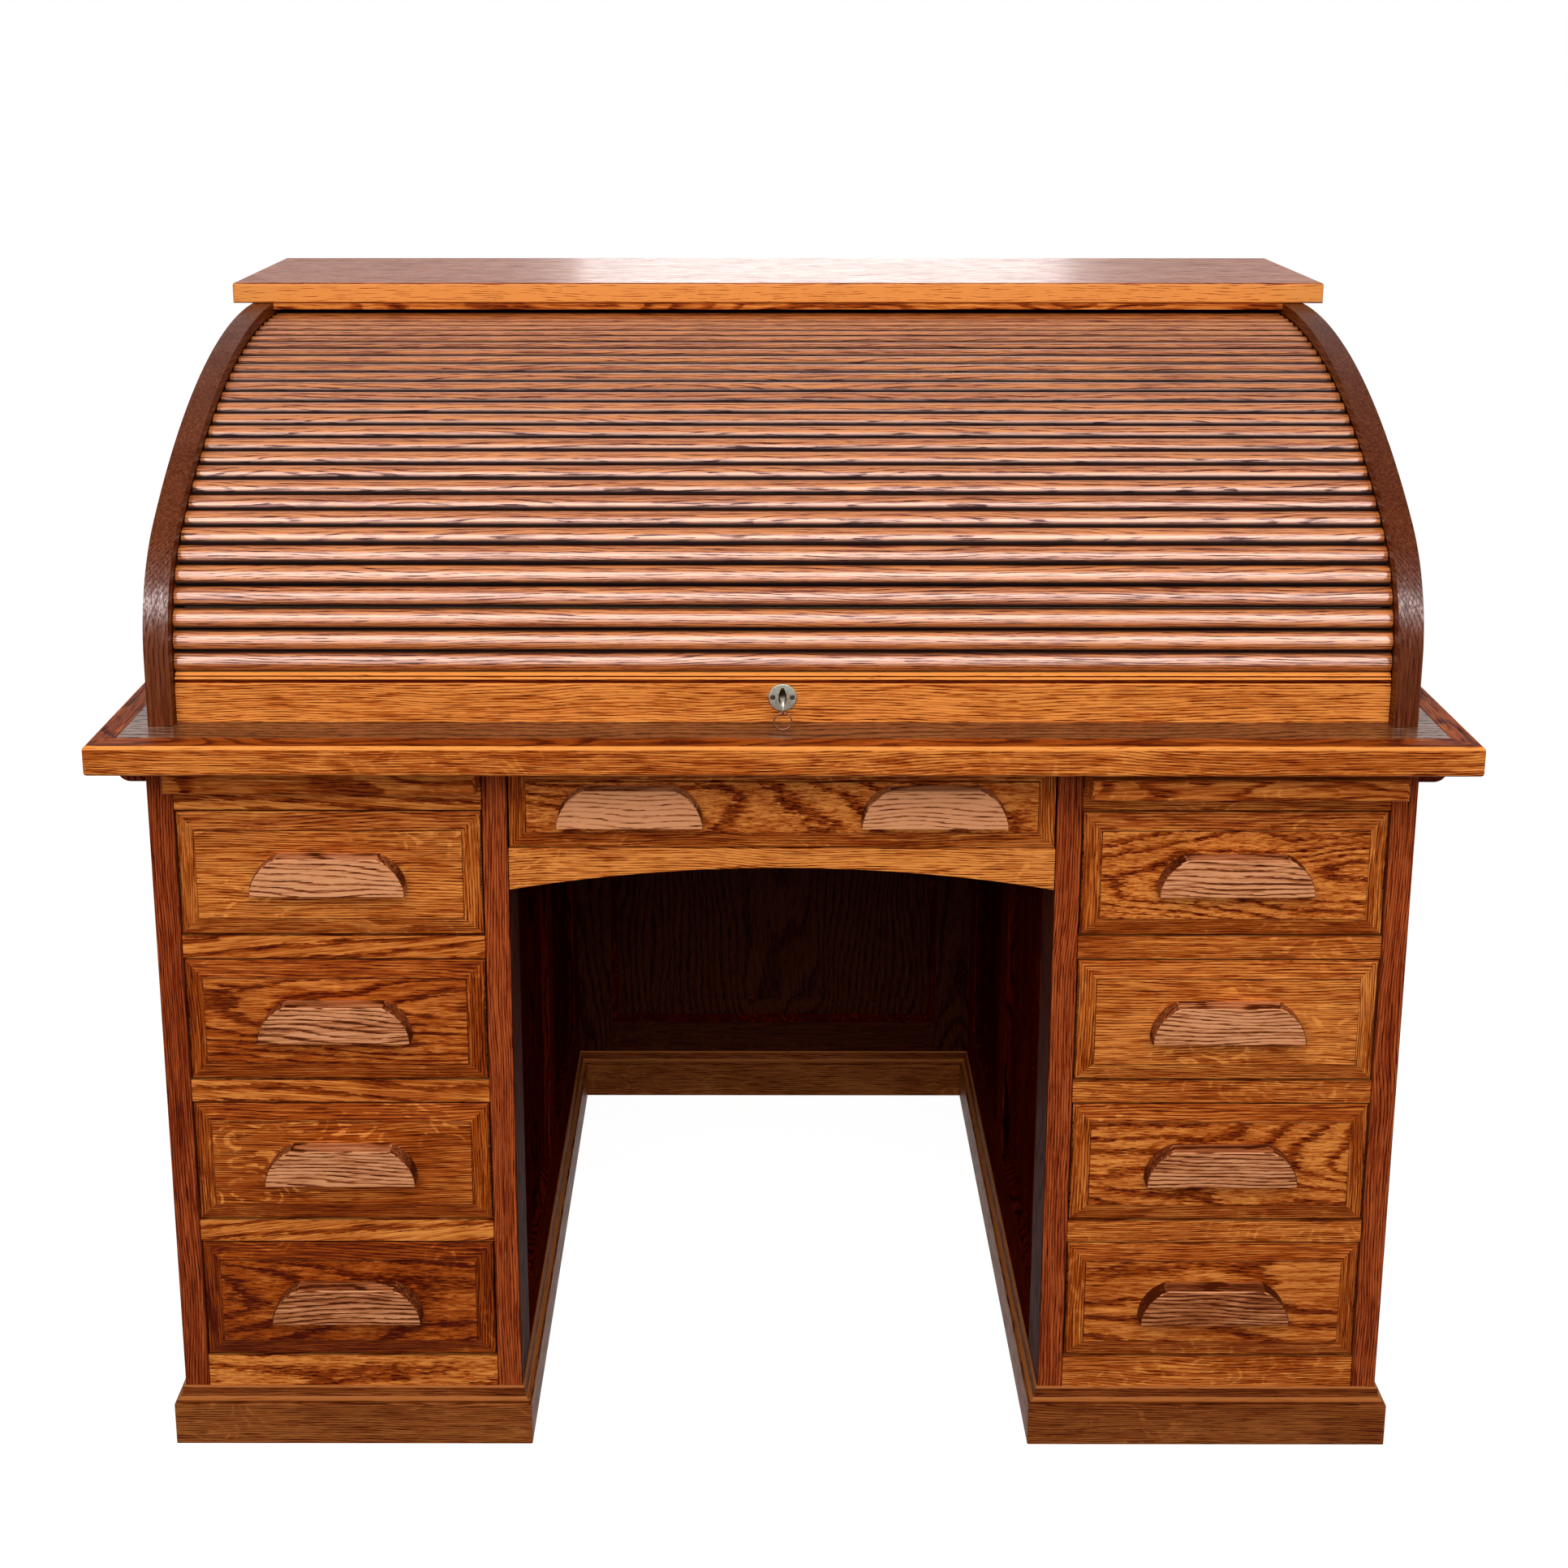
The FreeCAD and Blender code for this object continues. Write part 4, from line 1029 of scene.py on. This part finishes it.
# each lamp's place, the point that it faces, its width and its height
LAMPS = {
    "sky_lamp": ((-0.1, -2.7, 2.7), DESK_MIDDLE, 4.2, 2.6),
    "front_lamp": ((0.2, -4.4, 3.0), DESK_MIDDLE, 4.5, 1.6),
    "back_lamp": ((0.15, 3.2, 1.8), DESK_MIDDLE, 1.3, 1.1),
    "low_lamp": ((-0.2, -2.6, 0.02), (-0.2, -2.5, 1), 3.6, 2.2),
    "wall_lamp": ((0, -3.6, 2.4), (0, 0, 2.4), 5.0, 4.0),
    "left_lamp": ((-1.15, -2.3, 1.8), (-0.57, -0.2, 0.98), 0.5, 0.6),
    "right_lamp": ((1.15, -2.3, 1.8), (0.57, -0.2, 0.98), 0.5, 0.6),
}

# the camera's lens in millimetres, its shifts, its place, and its tilt and turn in degrees
LENS = 47.43
SHIFT_X, SHIFT_Y = 0.0217, -0.184
CAMERA_PLACE = (-0.0272, -2.2078, 1.4128)
CAMERA_TILT, CAMERA_TURN = 77.55, 0.11

FLOOR_GLOW = 0.96
FLOOR_GAP = 0.0005
FLOOR_REACH = 30


def area_lamp(name, watts):
    place, aim, width, height = LAMPS[name]
    data = bpy.data.lights.new(name, "AREA")
    data.shape = "RECTANGLE"
    data.size = width
    data.size_y = height
    data.energy = watts
    lamp = bpy.data.objects.new(name, data)
    lamp.location = place
    lamp.rotation_euler = (Vector(aim) - Vector(place)).to_track_quat("-Z", "Y").to_euler()
    bpy.context.scene.collection.objects.link(lamp)
    return lamp


def polish_lamp(name, watts, pieces):
    """A lamp that only shows where the polish of the given pieces mirrors it."""
    lamp = area_lamp(name, watts)
    lamp.visible_camera = False
    lamp.visible_diffuse = False
    polished = bpy.data.collections.new(f"{name}_pieces")
    for piece in pieces:
        polished.objects.link(piece)
    lamp.light_linking.receiver_collection = polished


class DESK_OT_studio(bpy.types.Operator):
    """Set up the floor, the lamps, the world and the camera"""

    bl_idname = "desk.studio"
    bl_label = "Studio"
    bl_options = {"REGISTER", "UNDO"}

    def execute(self, context):
        studio = context.scene.desk_studio
        self.floor(context)
        self.world(context, studio)
        area_lamp("sky_lamp", studio.sky_power)
        area_lamp("front_lamp", studio.front_power)
        area_lamp("back_lamp", studio.back_power)
        slats = [piece for piece in context.scene.objects if piece.name.startswith("curtain_slats")]
        polish_lamp("low_lamp", studio.low_power, slats)
        polish_lamp("wall_lamp", studio.wall_power, slats)
        for side in ("left", "right"):
            panel = context.scene.objects[f"{side}_side_panel_wood"]
            polish_lamp(f"{side}_lamp", studio.side_power, [panel])
        self.camera(context)
        context.scene.view_settings.view_transform = "Standard"
        return {"FINISHED"}

    def floor(self, context):
        """A pale floor that stays white to the camera, apart from the desk's shadow."""
        graph = Graph(bpy.data.materials.new("pale_floor"))
        tone = context.scene.desk_colours.floor[:]
        plain = graph.node("ShaderNodeBsdfDiffuse", {"Color": (*tone, 1)}).outputs[0]
        strength = graph.math("MULTIPLY", graph.seen(), FLOOR_GLOW)
        glow = graph.node("ShaderNodeEmission", {"Strength": strength}).outputs[0]
        material = graph.shown(graph.node("ShaderNodeAddShader", {0: plain, 1: glow}))
        shape = bmesh.new()
        bmesh.ops.create_grid(shape, x_segments=1, y_segments=1, size=FLOOR_REACH)
        mesh = bpy.data.meshes.new("studio_floor")
        shape.to_mesh(mesh)
        shape.free()
        mesh.materials.append(material)
        floor = bpy.data.objects.new("studio_floor", mesh)
        floor.location.z = cad_box[0][2] - FLOOR_GAP
        context.scene.collection.objects.link(floor)

    def world(self, context, studio):
        """White where it is seen or mirrored, and an even light elsewhere."""
        graph = Graph(bpy.data.worlds.new("studio_world"), "ShaderNodeOutputWorld")
        strength = graph.node(
            "ShaderNodeMapRange", {"Value": graph.seen(), "To Min": studio.world_light, "To Max": 1.0}
        ).outputs[0]
        white = graph.node("ShaderNodeBackground", {"Color": (1, 1, 1, 1), "Strength": strength})
        context.scene.world = graph.shown(white)

    def camera(self, context):
        data = bpy.data.cameras.new("front_camera")
        data.lens = LENS
        data.sensor_width = 36
        data.shift_x = SHIFT_X
        data.shift_y = SHIFT_Y
        camera = bpy.data.objects.new("front_camera", data)
        camera.location = CAMERA_PLACE
        camera.rotation_euler = (math.radians(CAMERA_TILT), 0, math.radians(CAMERA_TURN))
        context.scene.collection.objects.link(camera)
        context.scene.camera = camera


# ---------------------------------------------------------------- panel and start

OPERATORS = (
    DESK_OT_writing_top,
    DESK_OT_pedestals,
    DESK_OT_drawers,
    DESK_OT_slides,
    DESK_OT_case,
    DESK_OT_curtain,
    DESK_OT_lock,
    DESK_OT_studio,
)


class DESK_PT_sidebar(bpy.types.Panel):
    """Lists the steps that finish the desk"""

    bl_label = "Roll-top Desk"
    bl_space_type = "VIEW_3D"
    bl_region_type = "UI"
    bl_category = "Desk"

    def draw(self, context):
        for operator in OPERATORS:
            self.layout.operator(operator.bl_idname)
        for group in (context.scene.desk_sizes, context.scene.desk_colours, context.scene.desk_studio):
            box = self.layout.box()
            for name in group.__annotations__:
                box.prop(group, name)


CLASSES = (DeskSizes, DeskColours, DeskStudio, *OPERATORS, DESK_PT_sidebar)


def register():
    for kind in CLASSES:
        bpy.utils.register_class(kind)
    bpy.types.Scene.desk_sizes = bpy.props.PointerProperty(type=DeskSizes)
    bpy.types.Scene.desk_colours = bpy.props.PointerProperty(type=DeskColours)
    bpy.types.Scene.desk_studio = bpy.props.PointerProperty(type=DeskStudio)


def unregister():
    del bpy.types.Scene.desk_studio
    del bpy.types.Scene.desk_colours
    del bpy.types.Scene.desk_sizes
    for kind in reversed(CLASSES):
        bpy.utils.unregister_class(kind)


def main():
    register()
    bpy.ops.desk.writing_top()
    bpy.ops.desk.pedestals()
    bpy.ops.desk.drawers()
    bpy.ops.desk.slides()
    bpy.ops.desk.case()
    bpy.ops.desk.curtain()
    bpy.ops.desk.lock()
    bpy.ops.desk.studio()


if __name__ == "__main__":
    main()
